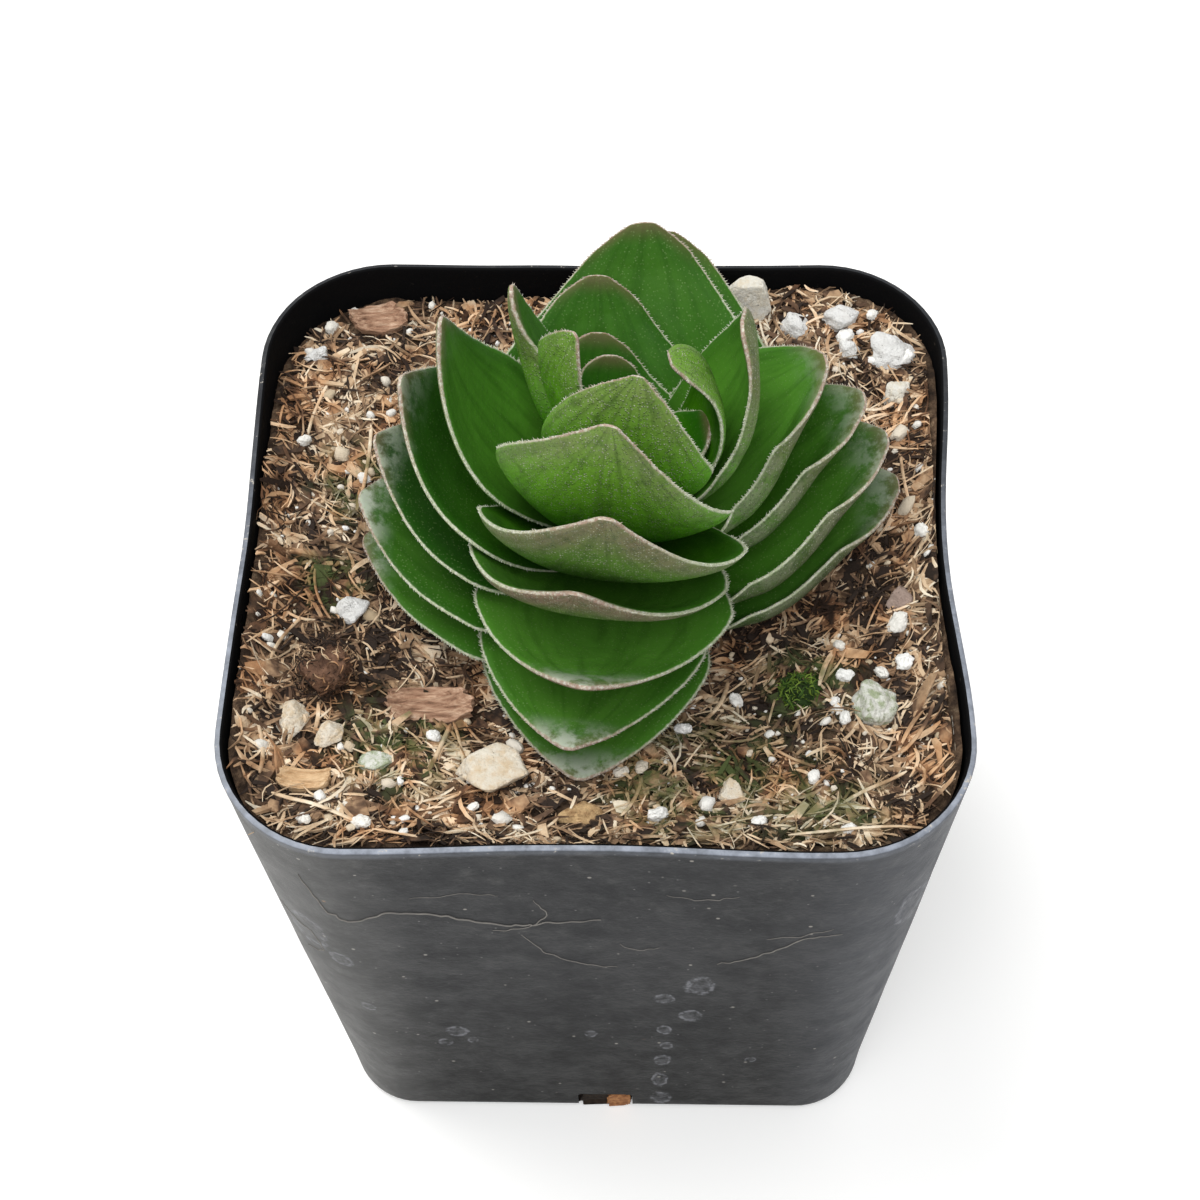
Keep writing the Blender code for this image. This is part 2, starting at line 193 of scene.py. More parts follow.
for place, across in cuts:
    bpy.ops.mesh.select_all(action="SELECT")
    bpy.ops.mesh.bisect(plane_co=[value * MM for value in place], plane_no=across)
select_in(pot, "edges", lambda edge: max(v.co.z for v in edge.verts) < 1e-6 and len(edge.link_faces) == 2
          and abs(edge.link_faces[0].normal.z - edge.link_faces[1].normal.z) > 0.5)
bpy.ops.mesh.bevel(offset=FOOT_ROUNDING * MM, segments=4, affect="EDGES")
bpy.ops.object.mode_set(mode="OBJECT")
shell = corners_of(pot)
shell[:, 0], shell[:, 1] = pot_plan(shell[:, 0], shell[:, 1], shell[:, 2])
wobble = grain(shell, 9.0, 1) * 0.1
outwards = shell[:, :2] / np.linalg.norm(shell[:, :2] + 1e-9, axis=1)[:, None]
shell[:, :2] -= outwards * (0.1 + wobble)[:, None] * (shell[:, 2] > 1.5)[:, None]
near_rim = np.clip((shell[:, 2] - 56) / 3, 0, 1)
shell[:, 2] -= near_rim * (0.08 + 0.08 * grain(shell, 6.0, 2))
move_corners(pot, shell)
wall_share = pot.vertex_groups.new(name="wall")
thinned = 1 - (1 - RIM_WALL / WALL) * np.clip((shell[:, 2] - THINS_FROM) / THINS_OVER, 0, 1)
for index, value in enumerate(thinned):
    wall_share.add([index], float(value), "REPLACE")
apply_modifier(pot, "SOLIDIFY", thickness=WALL * MM, offset=-1, use_even_offset=True, vertex_group="wall")
bpy.ops.object.mode_set(mode="EDIT")
select_in(pot, "edges", lambda edge: min(v.co.z for v in edge.verts) > 58.2 * MM and len(edge.link_faces) == 2
          and max(f.normal.z for f in edge.link_faces) > 0.8 and min(f.normal.z for f in edge.link_faces) < 0.5)
bpy.ops.mesh.bevel(offset=RIM_ROUNDING * MM, segments=3, affect="EDGES")
bpy.ops.object.mode_set(mode="OBJECT")

cutters = []
foot_reach = POT_WIDTH / 2 - SIDE_DRAFT
for quarter in range(4):
    cutter = start_piece("notch_cutter", bpy.ops.mesh.primitive_cube_add, size=MM)
    cutter.scale = (NOTCH[0], NOTCH[1] + 2, NOTCH[2] + 1)
    cutter.location = (0, -(foot_reach + 1 - NOTCH[1] / 2) * MM, (NOTCH[2] - 1) / 2 * MM)
    bpy.ops.object.transform_apply(location=True, rotation=False, scale=True)
    bpy.ops.object.mode_set(mode="EDIT")
    select_in(cutter, "edges", lambda edge: all(v.co.z > 0 for v in edge.verts)
              and abs(edge.verts[0].co.y - edge.verts[1].co.y) > MM)
    bpy.ops.mesh.bevel(offset=0.5 * MM, segments=3, affect="EDGES")
    bpy.ops.object.mode_set(mode="OBJECT")
    cutter.data.transform(Matrix.Rotation(math.radians(90 * quarter), 4, "Z"))
    cutters.append(cutter)
for cutter in cutters:
    cutter.select_set(True)
bpy.ops.object.join()
cutter = bpy.context.active_object
apply_modifier(pot, "BOOLEAN", operation="DIFFERENCE", object=cutter, solver="FAST")
bpy.data.objects.remove(cutter)
smooth(pot, 35)


class Finish:
    """A material built up on the piece's own coordinates, counted in millimetres."""

    def __init__(self, name):
        self.material = bpy.data.materials.new(name)
        self.material.use_nodes = True
        self.tree = self.material.node_tree
        self.shader = self.tree.nodes["Principled BSDF"]
        own = self.tree.nodes.new("ShaderNodeTexCoord").outputs["Object"]
        self.place = self.node("VectorMath", "Vector", {"operation": "SCALE"}, {0: own, "Scale": 1 / MM})
        self.x, self.y, self.z = self.node("SeparateXYZ", None, {}, {0: self.place}).outputs
        self.colour = None

    def node(self, kind, output, settings, inputs):
        made = self.tree.nodes.new("ShaderNode" + kind)
        for setting, value in settings.items():
            setattr(made, setting, value)
        for socket, value in inputs.items():
            self.feed(made.inputs[socket], value)
        return made if output is None else made.outputs[output]

    def feed(self, socket, value):
        if isinstance(value, bpy.types.NodeSocket):
            self.tree.links.new(value, socket)
        elif isinstance(value, tuple) and len(value) == 3 and socket.type == "RGBA":
            socket.default_value = (*value, 1)
        else:
            socket.default_value = value

    def set(self, **inputs):
        """Sets the shader's sockets. Its colour is what has been painted, unless one is given."""
        for socket, value in {"Base_Color": self.colour, **inputs}.items():
            self.feed(self.shader.inputs[socket.replace("_", " ")], value)

    def attribute(self, name):
        return self.node("Attribute", "Fac", {"attribute_name": name}, {})

    def calc(self, operation, first, second=0.0):
        return self.node("Math", 0, {"operation": operation}, {0: first, 1: second})

    def times(self, first, *others):
        for other in others:
            first = self.calc("MULTIPLY", first, other)
        return first

    def distance(self, *point):
        return self.node("VectorMath", "Value", {"operation": "DISTANCE"}, {0: self.place, 1: point})

    def blotches(self, size, detail=3.0, roughness=0.55, place=None, stretch=None):
        """Noise from 0 to 1 with features about size millimetres across."""
        where = place or self.place
        if stretch:
            where = self.node("Mapping", 0, {}, {"Vector": where, "Scale": stretch})
        return self.node("TexNoise", "Fac", {}, {"Vector": where, "Scale": 1 / size, "Detail": detail,
                                                 "Roughness": roughness})

    def cells(self, size, output="Distance"):
        return self.node("TexVoronoi", output, {}, {"Vector": self.place, "Scale": 1 / size})

    def chance(self, size, channel=0):
        """A random value from 0 to 1 for each cell."""
        return self.node("SeparateColor", channel, {}, {0: self.cells(size, "Color")})

    def step(self, value, start, end, low=0.0, high=1.0):
        """low up to start, high from end on, and a smooth change between."""
        return self.node("MapRange", 0, {"interpolation_type": "SMOOTHSTEP"},
                         {"Value": value, "From Min": start, "From Max": end, "To Min": low, "To Max": high})

    def patches(self, kind, *limits):
        """Blotches of a size, detail and roughness, cut off between limits."""
        return self.step(self.blotches(*kind), *limits)

    def ramp(self, value, *stops):
        made = self.tree.nodes.new("ShaderNodeValToRGB")
        self.feed(made.inputs[0], value)
        elements = made.color_ramp.elements
        while len(elements) < len(stops):
            elements.new(0.5)
        for element, (position, colour) in zip(elements, stops):
            element.position = position
            element.color = (*colour, 1)
        return made.outputs[0]

    def mix(self, share, first, second, blend="MIX"):
        return self.node("Mix", 2, {"data_type": "RGBA", "blend_type": blend, "clamp_factor": True},
                         {0: share, 6: first, 7: second})

    def paint(self, share, over, blend="MIX"):
        self.colour = self.mix(share, self.colour, over, blend)

    def bump(self, height, depth, normal=None):
        """height from 0 to 1 stands for depth millimetres."""
        inputs = {"Height": height, "Distance": depth * MM}
        if normal:
            inputs["Normal"] = normal
        return self.node("Bump", 0, {}, inputs)


plastic = Finish("charcoal_plastic")
up = plastic.node("SeparateXYZ", "Z", {}, {0: plastic.node("NewGeometry", "Normal", {}, {})})
mottle = plastic.blotches(9.0, 4, 0.6)
plastic.colour = plastic.mix(mottle, (0.016, 0.0165, 0.018), (0.024, 0.025, 0.027))
# Painted shade: the plastic is darker towards the bottom.
plastic.paint(plastic.step(plastic.z, 0, 46, 0.9, 0.0), (0.006, 0.006, 0.0055))
# Painted reflections on the two front corners: a pale one on the left and a bluish one on the right.
near_front = plastic.step(plastic.y, -9, -20)
plastic.paint(plastic.times(plastic.step(plastic.x, -13, -26, 0, 0.8), near_front), (0.135, 0.134, 0.130))
plastic.paint(plastic.times(plastic.step(plastic.x, 13, 26, 0, 0.7), near_front), (0.085, 0.090, 0.102))
dusting = plastic.times(plastic.patches((3.0, 6, 0.75), 0.5, 0.75), plastic.step(plastic.z, 18, 58, 0.03, 0.34))
plastic.paint(dusting, (0.125, 0.125, 0.12))
scratches = plastic.step(plastic.blotches(0.9, 5, 0.7, stretch=(0.22, 0.22, 3.5)), 0.66, 0.72)
plastic.paint(plastic.times(scratches, plastic.patches((7, 2), 0.5, 0.66, 0, 0.5)), (0.22, 0.215, 0.2))
for size, reach, speck_colour, share in ((1.9, 0.1, (0.5, 0.47, 0.42), 0.45), (1.1, 0.1, (0.34, 0.33, 0.32), 0.35),
                                         (6.5, 0.05, (0.38, 0.22, 0.11), 0.8)):
    speck = plastic.step(plastic.cells(size), reach * 0.6, reach, 1, 0)
    plastic.paint(plastic.times(speck, plastic.step(plastic.chance(size), 0.55, 0.6, 0, share)), speck_colour)
# Rings that drops of hard water left as they dried, one under another on the front, and two scuffs:
# place across, height, half width and half height.
WATER_RINGS = ((8.3, 32.0, 1.15, 1.9), (7.6, 25.0, 0.95, 1.3), (5.4, 29.0, 0.8, 1.0), (5.4, 21.3, 0.6, 1.0),
               (5.6, 17.3, 0.55, 0.8), (5.3, 13.4, 0.75, 1.3), (5.0, 8.0, 0.7, 1.7), (5.1, 3.0, 0.95, 1.5),
               (-12.4, 20.5, 0.9, 1.2), (-13.6, 17.8, 0.6, 0.8), (-11.2, 18.3, 0.45, 0.7), (-0.9, 20.0, 0.5, 0.7),
               (-19.5, 26.0, 0.6, 0.8), (13.0, 14.0, 0.5, 0.6), (-22.9, 40.5, 1.5, 3.2), (24.6, 43.5, 1.2, 3.2),
               (-20.6, 36.5, 0.9, 1.3))
on_front = plastic.step(plastic.y, -20, -22)
for across, height, half_width, half_height in WATER_RINGS:
    from_middle = plastic.node("CombineXYZ", 0, {}, {
        0: plastic.calc("DIVIDE", plastic.calc("SUBTRACT", plastic.x, across), half_width),
        2: plastic.calc("DIVIDE", plastic.calc("SUBTRACT", plastic.z, height), half_height)})
    away = plastic.node("VectorMath", "Value", {"operation": "LENGTH"}, {0: from_middle})
    away = plastic.calc("ADD", away, plastic.times(plastic.blotches(1.1, 3), 0.8))
    away = plastic.calc("SUBTRACT", away, 0.15)
    ring = plastic.times(plastic.step(away, 0.75, 1.15), plastic.step(away, 1.2, 1.42, 1, 0))
    film = plastic.calc("MAXIMUM", ring, plastic.step(away, 1.1, 1.3, 0.35, 0))
    film = plastic.times(film, plastic.patches((0.6, 4, 0.7), 0.38, 0.62, 0.0, 0.55), on_front)
    plastic.paint(film, (0.26, 0.265, 0.29))
# Wear on the rim, with a painted bluish sheen on its upward faces, strongest at the front.
rim_wear_and_sheen = plastic.times(
    plastic.step(plastic.z, 57.8, 58.5), plastic.step(up, 0.1, 0.8, 0.25, 1),
    plastic.patches((1.6, 5, 0.7), 0.3, 0.7, 0.45, 1), plastic.step(plastic.y, 16, -14, 0.05, 1))
plastic.paint(rim_wear_and_sheen, (0.33, 0.36, 0.42))
edge_dirt = plastic.times(plastic.step(plastic.z, 58.0, 58.7), plastic.patches((0.8, 4, 0.7), 0.62, 0.7))
plastic.paint(edge_dirt, (0.5, 0.46, 0.4))
plastic.set(Roughness=plastic.patches((4.0, 5, 0.7), 0.3, 0.75, 0.38, 0.58),
            Specular_IOR_Level=0.08,
            Normal=plastic.bump(plastic.blotches(0.5, 5, 0.7), 0.05, plastic.bump(plastic.blotches(5, 3), 0.12)))
# The pot's inner faces: the same plastic painted nearly black as painted shade, with pale flecks of dirt.
inside = Finish("plastic_inside_painted_shade")
inside.colour = inside.mix(inside.patches((0.9, 5, 0.7), 0.66, 0.72, 0, 0.6), (0.004, 0.004, 0.0045),
                           (0.10, 0.085, 0.07))
inside.set(Roughness=0.75, Specular_IOR_Level=0.06, Normal=inside.bump(inside.blotches(0.6, 4), 0.05))
settle(pot, "pot_plastic", plastic, inside, stands_for="pot")
for face in pot.data.polygons:
    inwards = face.center.x * face.normal.x + face.center.y * face.normal.y < -0.003
    face.material_index = int(inwards or (face.normal.z > 0.5 and face.center.z < 0.004))

# ---------------------------------------------------------------- potting mix
# Coir and peat, filled to a few millimetres under the rim, hollowed by watering under the plant and
# heaped in the back right corner. It is a closed body that stands on the pot's floor.
SOIL_GAP = 0.3
SOIL_LEVEL = 55.0
SOIL_FLOOR = 1.3
HOLLOW_DEPTH = 4.3
HOLLOW_RADIUS = 18.5
HEAP_FROM, HEAP_OVER = 21.5, 5.5
MOUND_HEIGHT = 1.8
WALL_HEAP = 2.7               # how far the mix climbs the walls, except at the back
SOIL_STEPS = 230
MIDDLE_RING = 25.0            # a level half way down, where the body's sides are cut once
BUMP_STEP, BUMP_REACH = 0.5, 30


def soil_base(x, y):
    """The soil's surface without its crumbs."""
    hollow = HOLLOW_DEPTH * np.exp(-(np.hypot(x, y) / HOLLOW_RADIUS) ** 4)
    slope = np.maximum(0, (x + y) / (POT_WIDTH / 2))
    to_wall = np.clip((np.maximum(np.abs(x) - 0.3 * (x > 0), -y) - HEAP_FROM) / HEAP_OVER, 0, 1)
    heap = WALL_HEAP * to_wall ** 2 * np.clip((21 - y) / 14, 0, 1)
    return SOIL_LEVEL - hollow + MOUND_HEIGHT * np.minimum(1, slope ** 4) + heap


bump_steps = np.linspace(-BUMP_REACH, BUMP_REACH, round(2 * BUMP_REACH / BUMP_STEP) + 1)
soil_bumps = np.array([[0.5 * noise.noise(Vector((x / 5, y / 5, 7.0))) for y in bump_steps] for x in bump_steps])


def soil_height(x, y):
    """The soil's surface with its low bumps, for arrays of places."""
    right, back = (np.clip((value + BUMP_REACH) / BUMP_STEP, 0, len(bump_steps) - 1.001) for value in (x, y))
    i, j = right.astype(int), back.astype(int)
    s, t = right - i, back - j
    low = soil_bumps[i, j] * (1 - s) + soil_bumps[i + 1, j] * s
    high = soil_bumps[i, j + 1] * (1 - s) + soil_bumps[i + 1, j + 1] * s
    return soil_base(x, y) + low * (1 - t) + high * t


def round_off(square):
    """Moves points drawn on a full square, as rows of x and y, so that its corners are round."""
    straight = POT_WIDTH / 2 - RIM_CORNER
    beyond = np.clip(np.abs(square) - straight, 0, None)
    length = np.hypot(*beyond)
    pull = np.where(length > 0, beyond.max(0) / np.maximum(length, 1e-9), 1)
    return np.sign(square) * (np.clip(np.abs(square), 0, straight) + beyond * pull)


def soil_half_width(height):
    return POT_WIDTH / 2 - SIDE_DRAFT * (1 - height / POT_HEIGHT) - WALL - SOIL_GAP


soil = start_piece("potting_mix", bpy.ops.mesh.primitive_grid_add, x_subdivisions=SOIL_STEPS,
                   y_subdivisions=SOIL_STEPS, size=POT_WIDTH * MM)
bed = corners_of(soil)
bed[:, 0], bed[:, 1] = pot_plan(*round_off(bed[:, :2].T), np.full(len(bed), SOIL_LEVEL), RIM_WALL + 0.12)
bed[:, 2] = 0
crumbs = 0.30 * grain(bed, 1.7, 3) + 0.22 * np.abs(grain(bed, 0.9, 4)) + 0.12 * grain(bed, 0.45, 5)
bed[:, 2] = soil_height(bed[:, 0], bed[:, 1]) + crumbs * np.clip(np.hypot(bed[:, 0], bed[:, 1]) / 12 - 0.5, 0.3, 1)
move_corners(soil, bed)
bpy.ops.object.mode_set(mode="EDIT")
bpy.ops.mesh.select_all(action="SELECT")
bpy.ops.mesh.region_to_loop()
bpy.ops.mesh.extrude_edges_move(TRANSFORM_OT_translate={"value": (0, 0, -0.030)})
bpy.ops.mesh.extrude_edges_move(TRANSFORM_OT_translate={"value": (0, 0, -0.0235)})
bpy.ops.mesh.edge_face_add()
bpy.ops.object.mode_set(mode="OBJECT")
bed = corners_of(soil)
for low, high, height in ((10, 40, MIDDLE_RING), (-10, 10, SOIL_FLOOR)):
    ring = (bed[:, 2] > low) & (bed[:, 2] < high)
    bed[ring, :2] *= soil_half_width(height) / soil_half_width(SOIL_LEVEL) * 0.985
    bed[ring, 2] = height
move_corners(soil, bed)
smooth(soil, 80)


def algae_patches(finish):
    """Where a green film grows on the damp mix: patches at the front and left of the plant."""
    spread = 0.0
    for right, back, radius in ((8, -20, 9), (-15, -17, 6), (16, -11, 5), (-20, 8, 5), (-22, -2, 4), (17, -23, 6)):
        from_patch = finish.distance(right, back, 54)
        spread = finish.calc("MAXIMUM", spread, finish.step(from_patch, radius * 0.3, radius * 1.2, 1, 0))
    return finish.times(spread, finish.patches((2.2, 4, 0.65), 0.42, 0.6))


peat = Finish("peat_and_coir")
lumps = peat.blotches(1.1, 8, 0.7)
peat.colour = peat.ramp(lumps, (0.3, (0.015, 0.010, 0.007)), (0.46, (0.09, 0.055, 0.035)),
                        (0.58, (0.22, 0.14, 0.085)), (0.7, (0.42, 0.30, 0.19)), (0.8, (0.62, 0.50, 0.36)))
peat.paint(peat.patches((4.0, 4, 0.6), 0.36, 0.58, 0.6, 0), (0.02, 0.013, 0.009))
peat.paint(peat.times(algae_patches(peat), 0.65), (0.06, 0.085, 0.03))
pale = peat.times(peat.step(peat.cells(0.7), 0.1, 0.16, 0.7, 0), peat.step(peat.chance(0.7, 1), 0.86, 0.9))
peat.paint(pale, (0.75, 0.72, 0.66))
peat.set(Roughness=0.95, Specular_IOR_Level=0.2,
         Normal=peat.bump(peat.blotches(0.35, 6, 0.7), 0.35, peat.bump(lumps, 0.5)))
settle(soil, "potting_mix", peat, stands_for="soil")

# ---------------------------------------------------------------- loose coir, straw and crumbs
# The top of the mix is a mat of coir fibres, torn bark flakes and grit. Each kind is modelled once
# and copied, and every copy lies on the bed with its own length, bend and colour.
FIBRES = 12000
FLAKES = 2700
GRIT = 620
BED_CLEARANCE = 0.55          # between loose bits and the pot's inner face
BED_REACH, BED_STRAIGHT = 27.0, 17.5
KEPT_CLEAR = ("bark_chip", "coir_ball", "moss_tuft", "bark_crumb", "bark_flake", "wood_chip")
draw = np.random.default_rng(21)


def model_fibre(sides, cuts_along):
    """A thin rod one unit long and thick that lies along X, tapered at its ends."""
    rod = start_piece("fibre_pattern", bpy.ops.mesh.primitive_cylinder_add, vertices=sides, radius=0.5, depth=1,
                      end_fill_type="NGON", rotation=(0, math.radians(90), 0))
    bpy.ops.object.transform_apply(location=False, rotation=True, scale=False)
    bpy.ops.object.mode_set(mode="EDIT")
    for along in np.linspace(-0.5, 0.5, cuts_along + 2)[1:-1]:
        bpy.ops.mesh.select_all(action="SELECT")
        bpy.ops.mesh.bisect(plane_co=(along, 0, 0), plane_no=(1, 0, 0))
    select_in(rod, "verts", lambda vert: abs(vert.co.x) > 0.49)
    bpy.ops.transform.resize(value=(1, 0.45, 0.45))
    bpy.ops.object.mode_set(mode="OBJECT")
    return take_pattern(rod)


def take_pattern(piece):
    """The pattern's vertices and faces, as arrays; the pattern itself isn't kept."""
    apply_modifier(piece, "TRIANGULATE")
    points = corners_of(piece) * MM
    faces = np.array([list(face.vertices) for face in piece.data.polygons])
    bpy.data.objects.remove(piece)
    return points, faces


def build_piece(name, places, faces, attribute, values):
    """A new mesh from places in millimetres, with one value for each of them."""
    mesh = bpy.data.meshes.new(name)
    mesh.from_pydata((places.reshape(-1, 3) * MM).tolist(), [], faces.tolist())
    mesh.attributes.new(attribute, "FLOAT", "POINT").data.foreach_set("value", values)
    piece = bpy.data.objects.new(name, mesh)
    bpy.context.scene.collection.objects.link(piece)
    return piece


def scatter(name, pattern, copies, finish, slot, bent=0.0, arched=0.0, on_bed=True):
    """One piece made of many copies of a pattern. A copy: x, y, lift, length, width, thickness,
    bearing, tilt, roll, tone."""
    points, faces = pattern
    copies = np.asarray(copies, float)
    x, y, lift, length, width, thickness, bearing, tilt, roll, tone = copies.T[:, :, None]
    along, across, above = (points[None, :, k] for k in range(3))
    bend = bent * draw.uniform(-1, 1, (len(copies), 1))
    arch = arched * draw.uniform(0, 1, (len(copies), 1))
    a, b, c = along * length, across * width, above * thickness
    b, c = b * np.cos(roll) - c * np.sin(roll), b * np.sin(roll) + c * np.cos(roll)
    b = b + bend * length * (4 * along ** 2 - 0.33)
    c = c + arch * length * (0.25 - along ** 2) * 4 + a * np.sin(tilt)
    px = x + a * np.cos(bearing) - b * np.sin(bearing)
    py = y + a * np.sin(bearing) + b * np.cos(bearing)
    reach = POT_WIDTH / 2 - RIM_WALL - BED_CLEARANCE
    bowed_in = 0.9 * np.cos(np.clip(py / reach, -1, 1) * 1.3)
    px, py = np.clip(px, -reach, reach - bowed_in), np.clip(py, -reach, reach)
    pz = (soil_height(px, py) if on_bed else 0.0) + lift + c
    first = np.arange(len(copies)) * len(points)
    all_faces = (faces[None] + first[:, None, None]).reshape(-1, 3)
    piece = build_piece(name, np.stack([px, py, pz], -1), all_faces, "tone", np.repeat(copies[:, 9], len(points)))
    smooth(piece, 50)
    settle(piece, slot, finish)


def solid_box(node):
    """The lowest and highest corners of a CAD solid, in millimetres."""
    return [np.array(corner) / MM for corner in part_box(node)]


def inside_pot(x, y, room):
    """Whether places on the bed are at least room from the pot's wall."""
    beyond = np.hypot(np.clip(np.abs(x) - BED_STRAIGHT, 0, None), np.clip(np.abs(y) - BED_STRAIGHT, 0, None))
    return beyond < BED_REACH - BED_STRAIGHT - room


def places_on_bed(count, room=0.2, inner=8.5):
    """Random places clear of the wall, the stem and the larger pieces of bark, coir and moss."""
    x, y = draw.uniform(-BED_REACH, BED_REACH, (2, count * 2))
    kept = inside_pot(x, y, room) & (np.hypot(x, y) > inner)
    for node in KEPT_CLEAR:
        lowest, highest = solid_box(node)
        middle, half = (lowest + highest) / 2, (highest - lowest) / 2 + 0.3
        kept &= np.hypot((x - middle[0]) / half[0], (y - middle[1]) / half[1]) > 1
    return x[kept][:count], y[kept][:count]


def coir_finish(name, stops):
    """Fibre and bark coloured from dark to pale by each copy's tone, darker in two shaded places."""
    finish = Finish(name)
    uneven = finish.times(finish.calc("SUBTRACT", finish.blotches(0.8, 3), 0.5), 0.35)
    tone = finish.calc("ADD", finish.attribute("tone"), uneven)
    shaded = finish.calc("MAXIMUM", finish.step(finish.distance(17, -5, 54), 3, 15, 0.22, 0),
                         finish.step(finish.distance(-19.5, -7, 54), 2, 9, 0.34, 0))
    tone = finish.calc("SUBTRACT", tone, shaded)
    tone = finish.calc("ADD", tone, finish.patches((4.0, 4, 0.6), 0.36, 0.62, -0.26, 0.16))
    finish.colour = finish.ramp(tone, *stops)
    finish.paint(finish.patches((5.5, 3, 0.6), 0.46, 0.62, 0, 0.6), (0.92, 0.62, 0.40), "MULTIPLY")
    finish.paint(finish.times(algae_patches(finish), 0.72), (0.085, 0.12, 0.035))
    finish.set(Roughness=0.85, Specular_IOR_Level=0.25, Normal=finish.bump(finish.blotches(0.25, 4, 0.7), 0.12))
    return finish


coir = coir_finish("coir_fibre", (
    (0.05, (0.030, 0.020, 0.015)), (0.25, (0.16, 0.095, 0.058)), (0.45, (0.43, 0.28, 0.165)),
    (0.7, (0.70, 0.53, 0.35)), (1.0, (0.90, 0.80, 0.63))))
fibre = model_fibre(3, 3)
for part in range(3):
    count = FIBRES // 3
    x, y = places_on_bed(count)
    length = draw.gamma(3.2, 0.5, count) + 0.4
    thick = draw.gamma(2.6, 0.055, count) + 0.08
    copies = np.stack([x, y, draw.uniform(0.05, 0.65, count), length, thick, thick * draw.uniform(0.5, 1.0, count),
                       draw.uniform(0, np.pi, count), draw.normal(0, 0.12, count), draw.uniform(0, 3, count),
                       draw.beta(1.15, 1.15, count)], -1)
    scatter(f"coir_fibres_{part + 1}", fibre, copies, coir, "potting_mix", bent=0.22, arched=0.10)

flake = start_piece("flake_pattern", bpy.ops.mesh.primitive_cube_add, size=1)
bpy.ops.object.mode_set(mode="EDIT")
bpy.ops.mesh.select_all(action="SELECT")
bpy.ops.mesh.bisect(plane_co=(-0.1, 0, 0), plane_no=(1, 0.2, 0))
select_in(flake, "verts", lambda vert: vert.co.x > 0.4)
bpy.ops.transform.resize(value=(0.8, 0.55, 0.7))
select_in(flake, "verts", lambda vert: vert.co.x < -0.4)
bpy.ops.transform.resize(value=(1, 0.7, 0.5))
bpy.ops.object.mode_set(mode="OBJECT")
flake_pattern = take_pattern(flake)
count = FLAKES
x, y = places_on_bed(count, 0.4)
copies = np.stack([x, y, draw.uniform(0.0, 0.55, count), draw.gamma(2.0, 0.6, count) + 0.4,
                   draw.gamma(2.4, 0.2, count) + 0.2, draw.uniform(0.12, 0.4, count), draw.uniform(0, 6.28, count),
                   draw.normal(0, 0.3, count), draw.normal(0, 0.4, count), draw.beta(0.9, 1.7, count)], -1)
scatter("bark_crumbs", flake_pattern, copies, coir, "bark", bent=0.1)

mineral = Finish("loose_grit")
mineral.colour = mineral.ramp(mineral.attribute("tone"), (0.0, (0.42, 0.32, 0.2)), (0.35, (0.66, 0.55, 0.4)),
                              (0.6, (0.8, 0.77, 0.7)), (1.0, (0.9, 0.9, 0.88)))
mineral.set(Roughness=0.9, Specular_IOR_Level=0.3, Normal=mineral.bump(mineral.blotches(0.3, 4, 0.7), 0.15))
grit = start_piece("grit_pattern", bpy.ops.mesh.primitive_ico_sphere_add, subdivisions=2, radius=0.5)
lumpy = corners_of(grit)
lumpy *= (1 + 0.42 * grain(lumpy * MM, 0.25, 6))[:, None]
move_corners(grit, lumpy)
grit_pattern = take_pattern(grit)
count = GRIT
x, y = places_on_bed(count, 0.5, 11)
size = draw.gamma(1.3, 0.23, count) + 0.15
copies = np.stack([x, y, size * 0.3 + draw.uniform(0.1, 0.5, count), size, size * draw.uniform(0.7, 1.0, count),
                   size * draw.uniform(0.6, 0.95, count), draw.uniform(0, 6.28, count), np.zeros(count),
                   draw.normal(0, 0.5, count), draw.beta(2.3, 1.9, count)], -1)
scatter("perlite_grit", grit_pattern, copies, mineral, "perlite")

# Single larger bits of perlite and pumice: x, y, size, tone.
BITS = ((4.8, -23.3, 1.7, 0.9), (2.0, -18.6, 1.2, 0.5), (3.5, -18.3, 1.3, 0.45), (6.7, -14.2, 1.5, 0.95),
        (23.7, -9.8, 1.6, 0.95), (-12.4, -16.0, 1.1, 0.9), (22.0, -10.4, 1.3, 0.8), (19.2, -10.6, 1.5, 0.95),
        (19.0, -14.6, 1.3, 0.9), (18.3, -13.0, 0.9, 0.85), (23.4, -6.2, 1.7, 0.7), (18.9, -7.4, 1.2, 0.6),
        (16.5, -19.9, 1.3, 0.85), (25.4, 1.3, 1.3, 0.8), (-21.4, -24.3, 1.2, 0.7), (-17.1, -24.5, 1.5, 0.75),
        (12.3, -24.1, 1.2, 0.9), (18.9, -24.7, 1.2, 0.85), (20.2, 21.6, 1.5, 0.9), (22.6, 24.2, 1.2, 0.8),
        (25.2, 19.3, 1.4, 0.9), (-23.4, 24.0, 1.3, 0.6), (-21.6, 25.6, 1.1, 0.6), (-24.5, 11.3, 1.2, 0.7),
        (10.8, -11.6, 1.4, 0.75), (-9.0, -22.6, 1.0, 0.8), (-14.6, -20.4, 0.9, 0.9))
copies = [(x, y, size * 0.3 + 0.35, size, size * 0.85, size * 0.75, x * 3.0 + y, 0.2, y, tone)
          for x, y, size, tone in BITS]
bit = start_piece("perlite_bit_pattern", bpy.ops.mesh.primitive_ico_sphere_add, subdivisions=4, radius=0.5)
lumpy = corners_of(bit) * MM
swell = 0.30 * grain(lumpy, 0.42, 8) + 0.16 * grain(lumpy, 0.16, 9) - 0.2 * np.clip(grain(lumpy, 0.12, 10), 0, 1)
move_corners(bit, lumpy * (1 + swell)[:, None] / MM)
scatter("perlite_bits", take_pattern(bit), copies, mineral, "perlite")

